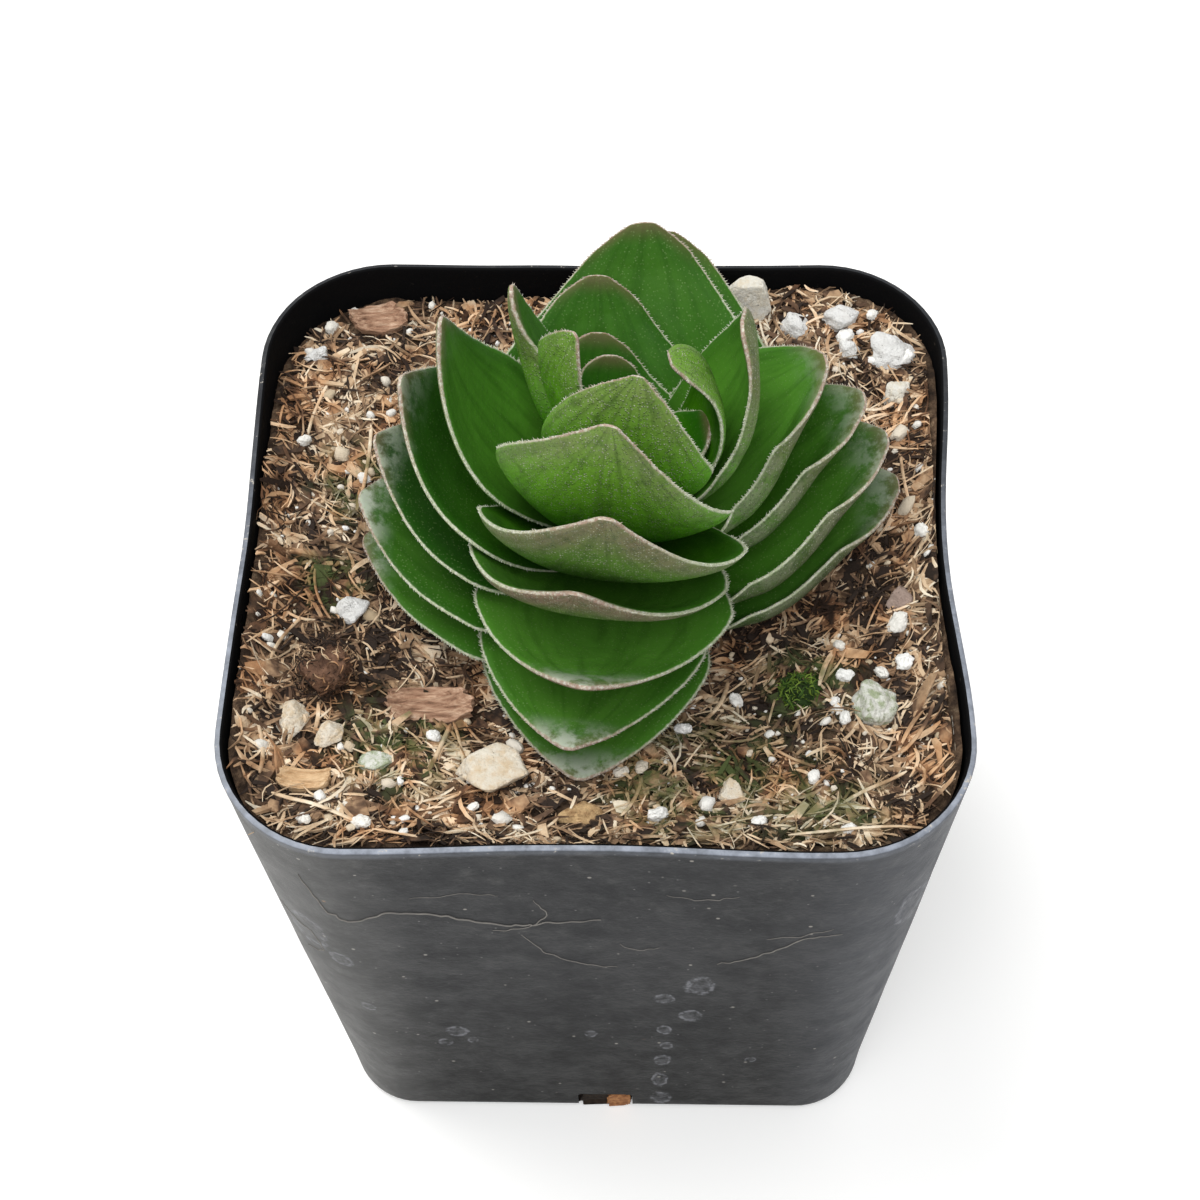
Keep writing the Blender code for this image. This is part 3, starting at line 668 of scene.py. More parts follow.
# Longer straws and root ends that lie on top: x, y, length, thickness, bearing, tone.
STRAWS = ((-20.3, -23.2, 8.0, 0.36, -22, 0.9), (19.6, -25.0, 10.5, 0.34, 5, 0.78), (-19.4, 9.5, 8.5, 0.3, 86, 0.85),
          (-22.2, -3.2, 5.2, 0.22, -72, 0.8), (9.4, -11.8, 4.8, 0.4, 62, 0.66), (10.6, -12.8, 3.6, 0.2, -48, 0.85),
          (-11.8, -17, 5.0, 0.34, 74, 0.6), (-10.4, -16.4, 4.4, 0.26, 104, 0.7), (-9.4, -15.2, 3.2, 0.22, 128, 0.62),
          (-24.4, -8.0, 5.0, 0.24, 68, 0.82), (-23.9, 15.0, 6.0, 0.26, 80, 0.8), (-14.0, 23.8, 5.0, 0.3, 24, 0.7),
          (-7.0, 24.6, 4.2, 0.55, 70, 0.62), (24.4, 6.0, 6.0, 0.22, 96, 0.74), (21.0, -20.6, 5.6, 0.3, 30, 0.68),
          (15.0, -18.0, 4.0, 0.26, -34, 0.56), (3.0, -21.4, 4.4, 0.3, 70, 0.6), (-4.4, -25.4, 5.2, 0.28, 38, 0.72),
          (23.0, 11.4, 4.6, 0.2, 40, 0.86), (13.5, 20.6, 3.8, 0.24, -60, 0.7), (-25.2, -18.0, 5.0, 0.3, 100, 0.7),
          (11.6, -23.8, 5.4, 0.24, 12, 0.84), (18.2, -9.0, 4.2, 0.3, 75, 0.5), (24.6, -16.0, 4.4, 0.34, 55, 0.45))
copies = [(x, y, 0.55 + thick / 2, length, thick, thick * 0.8, math.radians(bearing), 0.0, 0.0, tone)
          for x, y, length, thick, bearing, tone in STRAWS]
scatter("long_straws", model_fibre(7, 14), copies, coir, "potting_mix", bent=0.12, arched=0.04)

# ---------------------------------------------------------------- crumbs on the rim and behind the notch
# Bits of mix that stuck to the rim and the wall, and the bark that shows in the front notch, with a near-black plug
# behind it as painted shade in the notch.
RIM_CRUMBS = 46
CLEAN_CORNER, CLEAN_BACK = 19, 5
count = RIM_CRUMBS
side, along = draw.integers(0, 4, count), draw.uniform(-1, 1, count)
on_square = round_off(np.where(side % 2 == 0, (along, 1.0 - side), (2.0 - side, along)) * POT_WIDTH / 2)
x, y = pot_plan(*on_square, np.full(count, POT_HEIGHT), RIM_WALL / 2 + 0.15)
size = draw.gamma(2.0, 0.09, count) + 0.12
copies = np.stack([x, y, np.full(count, POT_HEIGHT - 0.16), size * 1.3, size, size * 0.6,
                   draw.uniform(0, 6.28, count), np.zeros(count), np.zeros(count), draw.beta(1.5, 1.0, count)], -1)
# The back of the rim and its corners are clean.
dusty = (np.abs(on_square).min(0) < CLEAN_CORNER) & (y < CLEAN_BACK)
scatter("rim_crumbs", grit_pattern, copies[dusty], mineral, "perlite", on_bed=False)

# The second plug is painted nearly black, as painted shade in the notch.
for name, colours, centre, half in (
        ("notch_bark", ((0.46, 0.22, 0.09), (0.22, 0.09, 0.04)), (1.25, -22.4, 1.65), (1.2, 1.1, 1.5)),
        ("notch_shade_plug", ((0.012, 0.008, 0.006), (0.03, 0.02, 0.013)), (0.0, -21.9, 1.85), (2.7, 1.45, 1.8))):
    behind = Finish(name)
    behind.set(Base_Color=behind.mix(behind.patches((0.5, 4, 0.7), 0.35, 0.65), *colours), Roughness=0.9,
               Specular_IOR_Level=0.15, Normal=behind.bump(behind.blotches(0.3, 4, 0.7), 0.2))
    plug = start_piece(name, bpy.ops.mesh.primitive_ico_sphere_add, subdivisions=4, radius=MM)
    places = corners_of(plug)
    places = np.sign(places) * np.abs(places) ** 0.25 * (0.9 + 0.22 * grain(places, 0.4, 33))[:, None]
    move_corners(plug, np.clip(places, -1, 1) * half + centre)
    smooth(plug, 60)
    settle(plug, "bark" if name == "notch_bark" else "potting_mix", behind)

# ---------------------------------------------------------------- dried root threads on the pot
# Hair-thin roots and lime lines that dried onto the front of the wall. They follow its surface.
# For each: its radius, and the places across and heights that it passes.
THREADS = (
    (0.075, ((-22.0, 53.0), (-20.6, 47.0), (-19.0, 45.5), (-15.5, 47.6), (-12.0, 47.2), (-9.7, 46.0), (-6.5, 44.8),
             (-4.0, 45.2), (0.5, 46.0))),
    (0.05, ((-4.6, 49.5), (-3.4, 46.8), (-5.2, 44.4), (-8.0, 43.8))),
    (0.055, ((9.6, 37.2), (12.0, 38.6), (14.0, 40.2), (16.6, 43.4), (19.0, 44.0))),
    (0.04, ((13.2, 43.0), (16.0, 43.6), (18.4, 45.2))),
    (0.045, ((-6.0, 43.0), (-4.0, 38.8), (-1.4, 36.6), (1.5, 36.0))),
    (0.045, ((-25.0, 42.0), (-22.6, 40.6), (-21.8, 37.0), (-23.6, 35.4))),
    (0.035, ((1.8, 41.0), (3.4, 39.6), (5.0, 40.4))),
    (0.035, ((5.5, 50.8), (8.5, 50.2), (11.0, 51.0))),
    (0.03, ((-14.0, 50.2), (-10.0, 51.4), (-7.2, 50.6))))
lime = Finish("dried_root")
lime.set(Base_Color=lime.mix(lime.blotches(1.0, 3), (0.30, 0.28, 0.25), (0.13, 0.125, 0.12)), Roughness=0.85,
         Specular_IOR_Level=0.2, Normal=lime.bump(lime.blotches(0.4, 3), 0.04))


def wander(along, reach, seed):
    return reach * grain(np.stack([along, along * 0, along * 0], -1), 0.3, seed)


lines = []
for seed, (radius, stops) in enumerate(THREADS):
    along = np.linspace(0, len(stops) - 1, 14 * len(stops))
    across, height = (np.interp(along, range(len(stops)), values) for values in zip(*stops))
    across, height = across + wander(along, 0.3, 50 + seed), height + wander(along, 0.4, 60 + seed)
    curve = bpy.data.curves.new("thread", "CURVE")
    curve.dimensions = "3D"
    curve.bevel_depth, curve.bevel_resolution = radius * MM, 1
    spline = curve.splines.new("POLY")
    spline.points.add(len(along) - 1)
    for point, x, z, share in zip(spline.points, across, height, along / along[-1]):
        _, place, facing, _ = pot.ray_cast(Vector((x * MM, -0.04, z * MM)), Vector((0, 1, 0)))
        point.co = (*(place + facing * radius * 0.35 * MM), 1)
        point.radius = 0.35 + 0.65 * math.sin(math.pi * min(max(share, 0.02), 0.98)) ** 0.5
    lines.append(bpy.data.objects.new("thread", curve))
    bpy.context.scene.collection.objects.link(lines[-1])
select_only(lines[0])
for thread in lines:
    thread.select_set(True)
bpy.ops.object.convert(target="MESH")
bpy.ops.object.join()
threads = name_piece("dried_root_threads")
smooth(threads, 60)
threads.data.materials.clear()
settle(threads, "bark", lime)

# ---------------------------------------------------------------- stones, perlite and bark
# Pumice gravel, white perlite, a bark chip and other bits that lie on the mix, half sunk in it.
# Each is one broken or puffed grain with pits, and stands where its CAD solid is.


def unit(vectors):
    return vectors / np.maximum(np.linalg.norm(vectors, axis=-1, keepdims=True), 1e-12)


def set_grain_shape(directions, kind, seed):
    """How far out the surface stands in each direction, for one grain."""
    own = np.random.default_rng(seed)
    planes = unit(own.normal(size=(16, 3)))
    room = own.uniform(0.66, 0.95, 16) if kind == "broken" else own.uniform(0.85, 1.1, 16)
    facing = np.clip(directions @ planes.T, 0.05, None)
    sharp = 24.0 if kind == "broken" else 8.0
    out = (np.sum((facing / room) ** sharp, axis=1)) ** (-1 / sharp)
    out *= 1 + 0.05 * grain(directions, 0.5, seed) + 0.035 * grain(directions, 0.18, seed + 1)
    if kind == "puffed":
        out *= 1 + 0.16 * grain(directions, 0.55, seed + 2) - 0.06 * np.abs(grain(directions, 0.22, seed + 5))
    pits = np.clip(grain(directions, 0.13, seed + 3) - 0.28, 0, 1)
    return out - 0.22 * pits


def fit_between(places, lowest, highest):
    return lowest + (places - places.min(0)) / (places.max(0) - places.min(0)) * (highest - lowest)


def start_grain(name):
    """A ball, and the directions in which its vertices lie."""
    ball = start_piece(name, bpy.ops.mesh.primitive_ico_sphere_add, subdivisions=5, radius=MM)
    return ball, unit(corners_of(ball))


def rock_finish(name, base, spots, tint=None):
    finish = Finish(name)
    finish.colour = finish.mix(finish.patches((0.9, 5, 0.7), 0.35, 0.75), base, spots)
    # Pores, painted darker inside as painted shade, with a matching dent in the bump.
    pores = finish.step(finish.cells(0.32), 0.02, 0.2, 1, 0)
    pores = finish.times(pores, finish.patches((0.7, 3), 0.4, 0.6, 0, 0.55))
    finish.paint(pores, tuple(0.4 * value for value in spots))
    if tint:
        finish.paint(finish.patches((0.7, 4, 0.7), 0.42, 0.62, 0, 0.75), tint)
    finish.set(Roughness=0.9, Specular_IOR_Level=0.25,
               Normal=finish.bump(finish.blotches(0.22, 5, 0.75), 0.24, finish.bump(pores, -0.2)))
    return finish


pumice = rock_finish("pumice", (0.91, 0.84, 0.71), (0.78, 0.60, 0.38))
cream_pumice = rock_finish("cream_pumice", (0.90, 0.88, 0.80), (0.80, 0.70, 0.52))
perlite = rock_finish("perlite", (0.93, 0.93, 0.91), (0.80, 0.79, 0.76))
green_perlite = rock_finish("perlite_with_algae", (0.86, 0.86, 0.80), (0.68, 0.70, 0.6), (0.30, 0.38, 0.17))
pink_stone = rock_finish("pink_stone", (0.50, 0.38, 0.32), (0.34, 0.25, 0.21))
for seed, (node, kind, finish, slot) in enumerate((
        ("stone_tan", "broken", pumice, "pumice"), ("pumice_front_left", "broken", pumice, "pumice"),
        ("pumice_front_left_small", "broken", pumice, "pumice"), ("pumice_front_right", "broken", pumice, "pumice"),
        ("pumice_back", "broken", cream_pumice, "pumice"), ("pumice_back_small", "puffed", perlite, "pumice"),
        ("pumice_back_right", "puffed", cream_pumice, "pumice"), ("perlite_left", "puffed", perlite, "perlite"),
        ("perlite_front", "puffed", perlite, "perlite"), ("perlite_front_left", "puffed", green_perlite, "perlite"),
        ("perlite_right", "puffed", green_perlite, "perlite"), ("perlite_back", "puffed", perlite, "perlite"),
        ("perlite_back_small", "puffed", perlite, "perlite"), ("perlite_back_right", "puffed", perlite, "perlite"),
        ("perlite_back_left", "puffed", perlite, "perlite"), ("stone_pink", "broken", pink_stone, "stone"))):
    stone, directions = start_grain(node + "_grain")
    places = directions * set_grain_shape(directions, kind, 40 + seed)[:, None]
    move_corners(stone, fit_between(places, *solid_box(node)))
    smooth(stone, 60)
    settle(stone, slot, finish, stands_for=node)

CHIP_LIFT = 0.7               # so that chips stand clear of the loose fibres
bark = Finish("pine_bark")
layers = bark.blotches(0.7, 6, 0.7, stretch=(0.3, 1.4, 2.5))
bark.colour = bark.ramp(layers, (0.3, (0.09, 0.045, 0.028)), (0.48, (0.38, 0.22, 0.14)),
                        (0.62, (0.58, 0.39, 0.27)), (0.75, (0.74, 0.58, 0.44)))
bark.set(Roughness=0.9, Specular_IOR_Level=0.2, Normal=bark.bump(layers, 0.3))
wood = Finish("pale_wood")
layers = wood.blotches(0.8, 5, 0.7, stretch=(0.4, 1.5, 2.0))
wood.colour = wood.ramp(layers, (0.3, (0.42, 0.25, 0.12)), (0.6, (0.70, 0.50, 0.30)), (0.8, (0.82, 0.66, 0.45)))
wood.set(Roughness=0.85, Specular_IOR_Level=0.25, Normal=wood.bump(layers, 0.2))
for seed, (node, finish, bearing) in enumerate((
        ("bark_chip", bark, 8), ("wood_chip", wood, -6), ("bark_flake", bark, 20))):
    lowest, highest = solid_box(node)
    highest = highest + (0, 0, CHIP_LIFT)
    chip = start_piece(node + "_piece", bpy.ops.mesh.primitive_cube_add, size=2 * MM)
    apply_modifier(chip, "SUBSURF", subdivision_type="SIMPLE", levels=6, render_levels=6)
    places = corners_of(chip)
    ragged = grain(places * (1, 1, 0.2), 0.35, 60 + seed)
    places[:, 0] *= 1 - 0.12 * np.abs(places[:, 1]) - 0.14 * ragged
    places[:, 1] *= 1 - 0.22 * np.abs(places[:, 0]) ** 2 + 0.18 * grain(places * (1, 0.2, 0.2), 0.5, 70 + seed)
    splinter = grain(places * (0.35, 2.2, 1), 0.4, 80 + seed)
    places[:, 2] = places[:, 2] * 0.35 + 0.25 * splinter * np.sign(places[:, 2]) + 0.75 * places[:, 0] ** 2 - 0.35
    turn = Matrix.Rotation(math.radians(bearing), 3, "Z")
    places = places @ np.array(turn).T * (highest - lowest) / 2
    move_corners(chip, fit_between(places, lowest, highest))
    smooth(chip, 50)
    settle(chip, "bark", finish, stands_for=node)

# ---------------------------------------------------------------- coir ball, bark crumb and moss
# A felted ball of peat and coir, a crumbling bit of bark, and a tuft of moss that grows in the mix.
BALL_SPREAD, BALL_LIFT = 0.5, 1.8      # so that the ball stands clear of the loose fibres
tangle_pattern = model_fibre(3, 3)


def lump_box(node):
    lowest, highest = solid_box(node)
    if node == "coir_ball":
        lowest, highest = lowest - (BALL_SPREAD, BALL_SPREAD, 0), highest + (BALL_SPREAD, BALL_SPREAD, BALL_LIFT)
    return lowest, highest


def tangle(name, node, count, length, thick, tones, finish, slot):
    """Short fibres that wrap a lump."""
    lowest, highest = lump_box(node)
    heading = unit(draw.normal(size=(count, 3)))
    spot = (lowest + highest) / 2 + heading * (highest - lowest) / 2 * draw.uniform(0.8, 1.0, (count, 1))
    flat = np.zeros(count)
    copies = np.stack([*spot.T, draw.uniform(*length, count), flat + thick, flat + thick,
                       draw.uniform(0, 6.28, count), draw.normal(0, 0.5, count), flat,
                       draw.uniform(*tones, count)], -1)
    scatter(name, tangle_pattern, copies, finish, slot, bent=0.3, arched=0.15, on_bed=False)


moss = Finish("moss")
tone = moss.calc("ADD", moss.attribute("tone"), moss.times(moss.blotches(0.6, 3), 0.2))
moss.colour = moss.ramp(tone, (0.1, (0.012, 0.03, 0.006)), (0.5, (0.05, 0.11, 0.012)), (1.0, (0.16, 0.24, 0.03)))
moss.set(Roughness=0.8, Specular_IOR_Level=0.3)
rust_bark = rock_finish("rusty_bark", (0.72, 0.50, 0.26), (0.30, 0.16, 0.07))
dark_peat = rock_finish("dark_peat", (0.24, 0.13, 0.08), (0.07, 0.036, 0.024))
dark_moss = rock_finish("moss_heart", (0.03, 0.06, 0.012), (0.012, 0.022, 0.006))
for seed, (node, finish, slot, shrink) in enumerate((
        ("coir_ball", dark_peat, "bark", 0.08), ("bark_crumb", rust_bark, "bark", 0.0),
        ("moss_tuft", dark_moss, "moss", 0.08))):
    lump, directions = start_grain(node + "_lump")
    rugged = set_grain_shape(directions, "puffed", 90 + seed) + 0.14 * np.abs(grain(directions, 0.12, 95 + seed))
    lowest, highest = lump_box(node)
    inset = shrink * (highest - lowest)
    move_corners(lump, fit_between(directions * rugged[:, None], lowest + inset, highest - inset))
    smooth(lump, 60)
    settle(lump, slot, finish, stands_for=node)
tangle("coir_ball_fibres", "coir_ball", 420, (0.5, 1.2), 0.12, (0.05, 0.8), coir, "bark")
tangle("moss_tuft_shoots", "moss_tuft", 420, (0.4, 0.9), 0.11, (0.0, 1.0), moss, "moss")

# ---------------------------------------------------------------- stem
# The short fleshy stem that the pairs of leaves sit on, hidden by them down to the soil.
stem = Finish("stem")
stem.set(Base_Color=stem.mix(stem.blotches(1.2, 4), (0.05, 0.10, 0.02), (0.16, 0.20, 0.06)), Roughness=0.55,
         Normal=stem.bump(stem.blotches(0.5, 3), 0.1))
stem_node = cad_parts["stem"]
stem_node.data.materials.clear()
stem_node.data.materials.append(stem.material)

# ---------------------------------------------------------------- leaves
# Fourteen crossed pairs of thick fleshy leaves on the stem. Each leaf lies on a bowl that steepens and
# rises from pair to pair, so that the ranks nest; margins are thin, pale and slightly rough.
PLANT_BASE = 54.0
STEM_REACH = 2.2
PAIR_STEP = 0.9
STEM_LEAN = (0.19, 0.09)
START_PITCH, START_PITCH_STEP = -12.0, 4.2
END_PITCH, END_PITCH_STEP, END_PITCH_GAIN = 18.0, 6.2, 0.2
LEFT_RANK_STEP = -2.0
BEND_LENGTH = 20.0
SQUARENESS = 3.0
CORNER_LIFT = 0.45
BASE_SHARE, WIDEST_AT, TIP_POWER = 0.62, 0.42, 1.45
RANK_BEARINGS = (-5.0, 100.0, 183.0, 262.0)
SIDES = ("front", "right", "back", "left")
LEAF_BASE_THICKNESS, LEAF_THICKNESS = 0.45, 0.85
LEAF_STEPS = (26, 34)
ROW_CROWDING = 1.15
MARGIN_SHARE, MARGIN_WIDTH = 0.24, 2.2      # how thin the margin is, and how wide the strip that thins to it
MARGIN_ROUGHNESS = 0.10
HAIRLESS_ROWS = 6
TIP_ROUNDING = {"front": 0.4, "right": 1.1, "back": 1.8, "left": 0.35}
# The front margins of these leaves curl up: the width of the strip, and the bend's radius and angle.
LEAF_CURLS = {"leaf_02_right": (2.6, 1.7, 75), "leaf_04_right": (3.0, 1.7, 75), "leaf_06_right": (3.0, 1.7, 78),
              "leaf_08_right": (3.0, 1.7, 80), "leaf_10_right": (1.4, 1.6, 60), "leaf_12_left": (3.4, 2.2, 70)}
# Side, length, width, turn, extra end pitch, for both leaves of each pair from the soil up.
LEAF_PAIRS = (
    (("front", 18.0, 16.5, 1, 3), ("back", 16.0, 17.0, 0, 8)),
    (("left", 17.5, 21.0, 5, 0), ("right", 22.0, 18.5, 1, 6)),
    (("front", 19.0, 16.5, -3, -3), ("back", 26.0, 26.0, -10, 2)),
    (("left", 19.0, 21.0, 5, 0), ("right", 21.0, 20.0, 3, 4)),
    (("front", 19.5, 19.0, -3, 0), ("back", 24.0, 24.0, -4, 5)),
    (("left", 20.0, 20.0, 2, 0), ("right", 19.5, 16.0, 7, 0)),
    (("front", 21.5, 20.5, -10, 5), ("back", 18.0, 18.5, 9, 0)),
    (("left", 22.0, 21.5, 3, 2), ("right", 17.5, 17.5, 13, 2)),
    (("front", 25.0, 21.5, -8, -8), ("back", 12.0, 13.5, 13, 0)),
    (("left", 23.5, 15.0, 1, -2), ("right", 19.5, 14.5, 12, 39)),
    (("front", 24.5, 22.0, -15, -12), ("back", 9.0, 9.0, 12, 0)),
    (("left", 17.5, 8.4, -25, -5), ("right", 17.0, 7.6, 6, 68)),
    (("front", 19.5, 18.0, -15, 0), ("back", 6.0, 8.0, 0, 0)),
    (("left", 15.0, 10.5, -2, 19), ("right", 6.0, 7.0, 0, 0)),
)


def midrib(start, end, along):
    """Run, rise and pitch along a rib whose pitch turns evenly from start to end."""
    bend = (end - start) / BEND_LENGTH
    pitch = start + bend * along
    return (np.sin(pitch) - np.sin(start)) / bend, (np.cos(start) - np.cos(pitch)) / bend, pitch


def rosette_point(level, side, along, across, turn, extra):
    """Points on the bowl that a pair lies on; along runs out from the stem and across from the rib."""
    rank = SIDES.index(side)
    start = math.radians(START_PITCH + START_PITCH_STEP * level)
    end = END_PITCH + END_PITCH_STEP * level + END_PITCH_GAIN * level ** 2 + extra
    if side == "left":
        end += LEFT_RANK_STEP * level
    end = math.radians(end)
    run, _, pitch = midrib(start, end, along)
    run = run + STEM_REACH
    diagonal = (run ** SQUARENESS + np.abs(across) ** SQUARENESS) ** (1 / SQUARENESS)
    reach = along + np.clip(np.cos(pitch), 0, 1) * (diagonal - run)
    out, rise, _ = midrib(start, end, reach)
    out = out + STEM_REACH
    angle = np.arctan2(across, run) + math.radians(turn)
    norm = (np.abs(np.cos(angle)) ** SQUARENESS + np.abs(np.sin(angle)) ** SQUARENESS) ** (1 / SQUARENESS)
    forward, sideways = out * np.cos(angle) / norm, out * np.sin(angle) / norm
    radius = np.hypot(forward, sideways)
    flat = (np.abs(forward) ** 10 + np.abs(sideways) ** 10) ** 0.1
    height = PAIR_STEP * level + rise + CORNER_LIFT * (radius - flat)
    quarters = [-90, 0, 90, 180, 270, 360, 450]
    bearings = [RANK_BEARINGS[3] - 360, *RANK_BEARINGS, RANK_BEARINGS[0] + 360, RANK_BEARINGS[1] + 360]
    even = np.degrees(np.arctan2(sideways, forward)) + 90 * rank
    bearing = np.radians(np.interp(even, quarters, bearings))
    x = radius * np.sin(bearing) + STEM_LEAN[0] * height
    y = -radius * np.cos(bearing) + STEM_LEAN[1] * height
    return np.stack([x, y, height + PLANT_BASE], -1)


def leaf_half_width(share, width):
    """Half the width at a share of the length: broad base, widest before the middle, pointed tip."""
    lower = BASE_SHARE + (1 - BASE_SHARE) * np.sin(np.pi / 2 * np.clip(share / WIDEST_AT, 0, 1))
    upper = 1 - np.clip((share - WIDEST_AT) / (1 - WIDEST_AT), 0, 1) ** TIP_POWER
    return np.where(share < WIDEST_AT, lower, upper) * width / 2


def paint_margin(finish, edge, share):
    """The pale margin, which turns pink towards the tip."""
    uneven = finish.times(finish.calc("SUBTRACT", finish.blotches(0.35, 3), 0.5), 0.28)
    rim = finish.mix(finish.step(share, 0.66, 1.0, 0, 0.9), (0.34, 0.39, 0.24), (0.33, 0.19, 0.16))
    rim = finish.mix(finish.patches((0.3, 4, 0.7), 0.42, 0.7, 0, 0.8), rim, (0.62, 0.63, 0.53))
    finish.paint(finish.step(finish.calc("ADD", edge, uneven), 0.0, 0.15, 0.75, 0), rim)


def streaks_along(finish, across, share, youth, fineness, roughness):
    """Faint lines from the leaf's base to its tip, which differ from pair to pair."""
    place = finish.node("CombineXYZ", 0, {}, {0: finish.times(across, fineness), 1: finish.times(share, 2.5),
                                              2: finish.times(youth, 40)})
    return finish.blotches(1.0, 4, roughness, place=place)


upper_face = Finish("leaf_upper_face")
share, across, edge, youth = (upper_face.attribute(name) for name in ("share", "across", "edge", "youth"))
young = upper_face.mix(upper_face.step(share, 0.1, 0.8), (0.070, 0.25, 0.002), (0.017, 0.108, 0.001))
old = upper_face.mix(upper_face.step(share, 0.15, 0.9), (0.022, 0.10, 0.008), (0.065, 0.175, 0.022))
upper_face.colour = upper_face.mix(youth, old, young)
upper_face.paint(upper_face.patches((3.5, 3), 0.35, 0.7, 0, 0.35), (0.018, 0.09, 0.003))
# Painted light and painted shade, leaf by leaf: a paler green where the attribute is above 0, a darker one where it
# is below 0.
painted_light = upper_face.attribute("painted_light")
upper_face.paint(painted_light, (0.095, 0.275, 0.03))
upper_face.paint(upper_face.times(painted_light, -1.0), (0.006, 0.030, 0.006))
upper_face.paint(upper_face.step(edge, 0.2, 3.2, 0.42, 0), (0.012, 0.065, 0.004))
veins = streaks_along(upper_face, across, share, youth, 7.0, 0.6)
upper_face.paint(upper_face.step(veins, 0.42, 0.7, 0, 0.38), (0.012, 0.06, 0.003))
flush = upper_face.times(upper_face.step(share, 0.8, 1.0), upper_face.step(edge, 0.2, 1.6, 0.5, 0))
upper_face.paint(flush, (0.16, 0.09, 0.06))
# Painted shade at the base of each upper face, where the pairs overlap.
upper_face.paint(upper_face.step(share, 0.12, 0.42, 0.55, 0), (0.008, 0.035, 0.003))
points = upper_face.cells(0.27)
dots = upper_face.times(upper_face.step(points, 0.10, 0.34, 1, 0), upper_face.step(youth, 0.3, 0.7, 0.34, 0.12),
                        upper_face.patches((1.2, 4, 0.65), 0.35, 0.65, 0.2, 1))
upper_face.paint(dots, (0.28, 0.42, 0.16))
# A painted sheen, pale grey-green, near the tips of the older leaves.
painted_sheen = upper_face.times(upper_face.step(share, 0.78, 0.97), upper_face.attribute("painted_sheen"),
                         upper_face.patches((1.8, 5, 0.65), 0.40, 0.60, 0.10, 1.0))
upper_face.paint(painted_sheen, (0.40, 0.45, 0.36))
upper_face.paint(upper_face.attribute("scar"), (0.78, 0.78, 0.70))
paint_margin(upper_face, edge, share)
upper_face.set(Roughness=upper_face.patches((1.4, 4), 0.3, 0.7, 0.36, 0.5),
               Specular_IOR_Level=0.06, Subsurface_Weight=0.08, Subsurface_Radius=(0.5, 1.0, 0.25),
               Subsurface_Scale=0.8 * MM,
               Normal=upper_face.bump(upper_face.step(points, 0.05, 0.25, 1, 0), 0.022,
                                      upper_face.bump(upper_face.blotches(2.2, 3), 0.12)))

underside = Finish("leaf_underside")
share, across, edge, youth = (underside.attribute(name) for name in ("share", "across", "edge", "youth"))
old = underside.mix(underside.step(share, 0.3, 0.85), (0.026, 0.060, 0.010), (0.055, 0.092, 0.026))
young = underside.mix(underside.step(share, 0.3, 0.9), (0.075, 0.28, 0.004), (0.080, 0.21, 0.012))
underside.colour = underside.mix(youth, old, young)
youngest = underside.mix(underside.step(share, 0.3, 0.9), (0.10, 0.38, 0.006), (0.13, 0.31, 0.02))
underside.paint(underside.step(youth, 0.66, 0.8), youngest)
frost = underside.times(underside.step(edge, 0.0, 3.6, 1.0, 0.0), underside.step(youth, 0.4, 1.0, 0.85, 0.15),
                        underside.patches((1.5, 5, 0.7), 0.34, 0.6, 0.25, 1.0))
underside.paint(frost, (0.19, 0.215, 0.13))
flush = underside.times(underside.step(share, 0.45, 0.95), underside.step(edge, 0.2, 4.5, 1.0, 0.1),
                        underside.attribute("flush"), underside.patches((1.6, 3), 0.25, 0.7, 0.6, 1))
underside.paint(flush, (0.185, 0.125, 0.088))
points = underside.cells(0.19)
dots = underside.times(underside.step(points, 0.14, 0.48, 0.9, 0),
                       underside.step(underside.chance(0.19), 0.1, 1.0, 0.05, 1),
                       underside.step(share, 0.2, 0.85, 0.45, 1),
                       underside.patches((1.3, 3, 0.6), 0.3, 0.65, 0.35, 1))
underside.paint(dots, (0.58, 0.60, 0.45))
streaks = streaks_along(underside, across, share, youth, 9.0, 0.65)
underside.paint(underside.step(streaks, 0.4, 0.7, 0, 0.4), (0.03, 0.055, 0.015))
underside.paint(underside.patches((1.2, 5, 0.7), 0.5, 0.68, 0, 0.4), (0.022, 0.055, 0.010))
paint_margin(underside, edge, share)
underside.set(Roughness=0.65, Specular_IOR_Level=0.12, Subsurface_Weight=0.08,
              Subsurface_Radius=(0.5, 1.0, 0.25), Subsurface_Scale=0.8 * MM,
              Normal=underside.bump(underside.step(points, 0.05, 0.45, 1, 0), 0.08,
                                    underside.bump(underside.blotches(1.6, 3), 0.15)))

margin = Finish("leaf_margin")
share = margin.attribute("share")
margin.colour = margin.mix(margin.step(share, 0.66, 1.0, 0, 0.85), (0.36, 0.41, 0.26), (0.36, 0.22, 0.18))
margin.paint(margin.patches((0.3, 4, 0.7), 0.40, 0.68, 0, 0.85), (0.66, 0.66, 0.56))
margin.set(Roughness=0.55, Specular_IOR_Level=0.4, Subsurface_Weight=0.3,
           Subsurface_Radius=(1.0, 1.0, 0.6), Subsurface_Scale=0.5 * MM,
           Normal=margin.bump(margin.blotches(0.2, 3), 0.06))

# Minute stiff hairs, a fifth of a millimetre long, that fringe every margin.
HAIR_GAP, HAIR_LENGTH, HAIR_WIDTH = 0.26, 0.21, 0.075
hair_corners, hair_shares = [], []


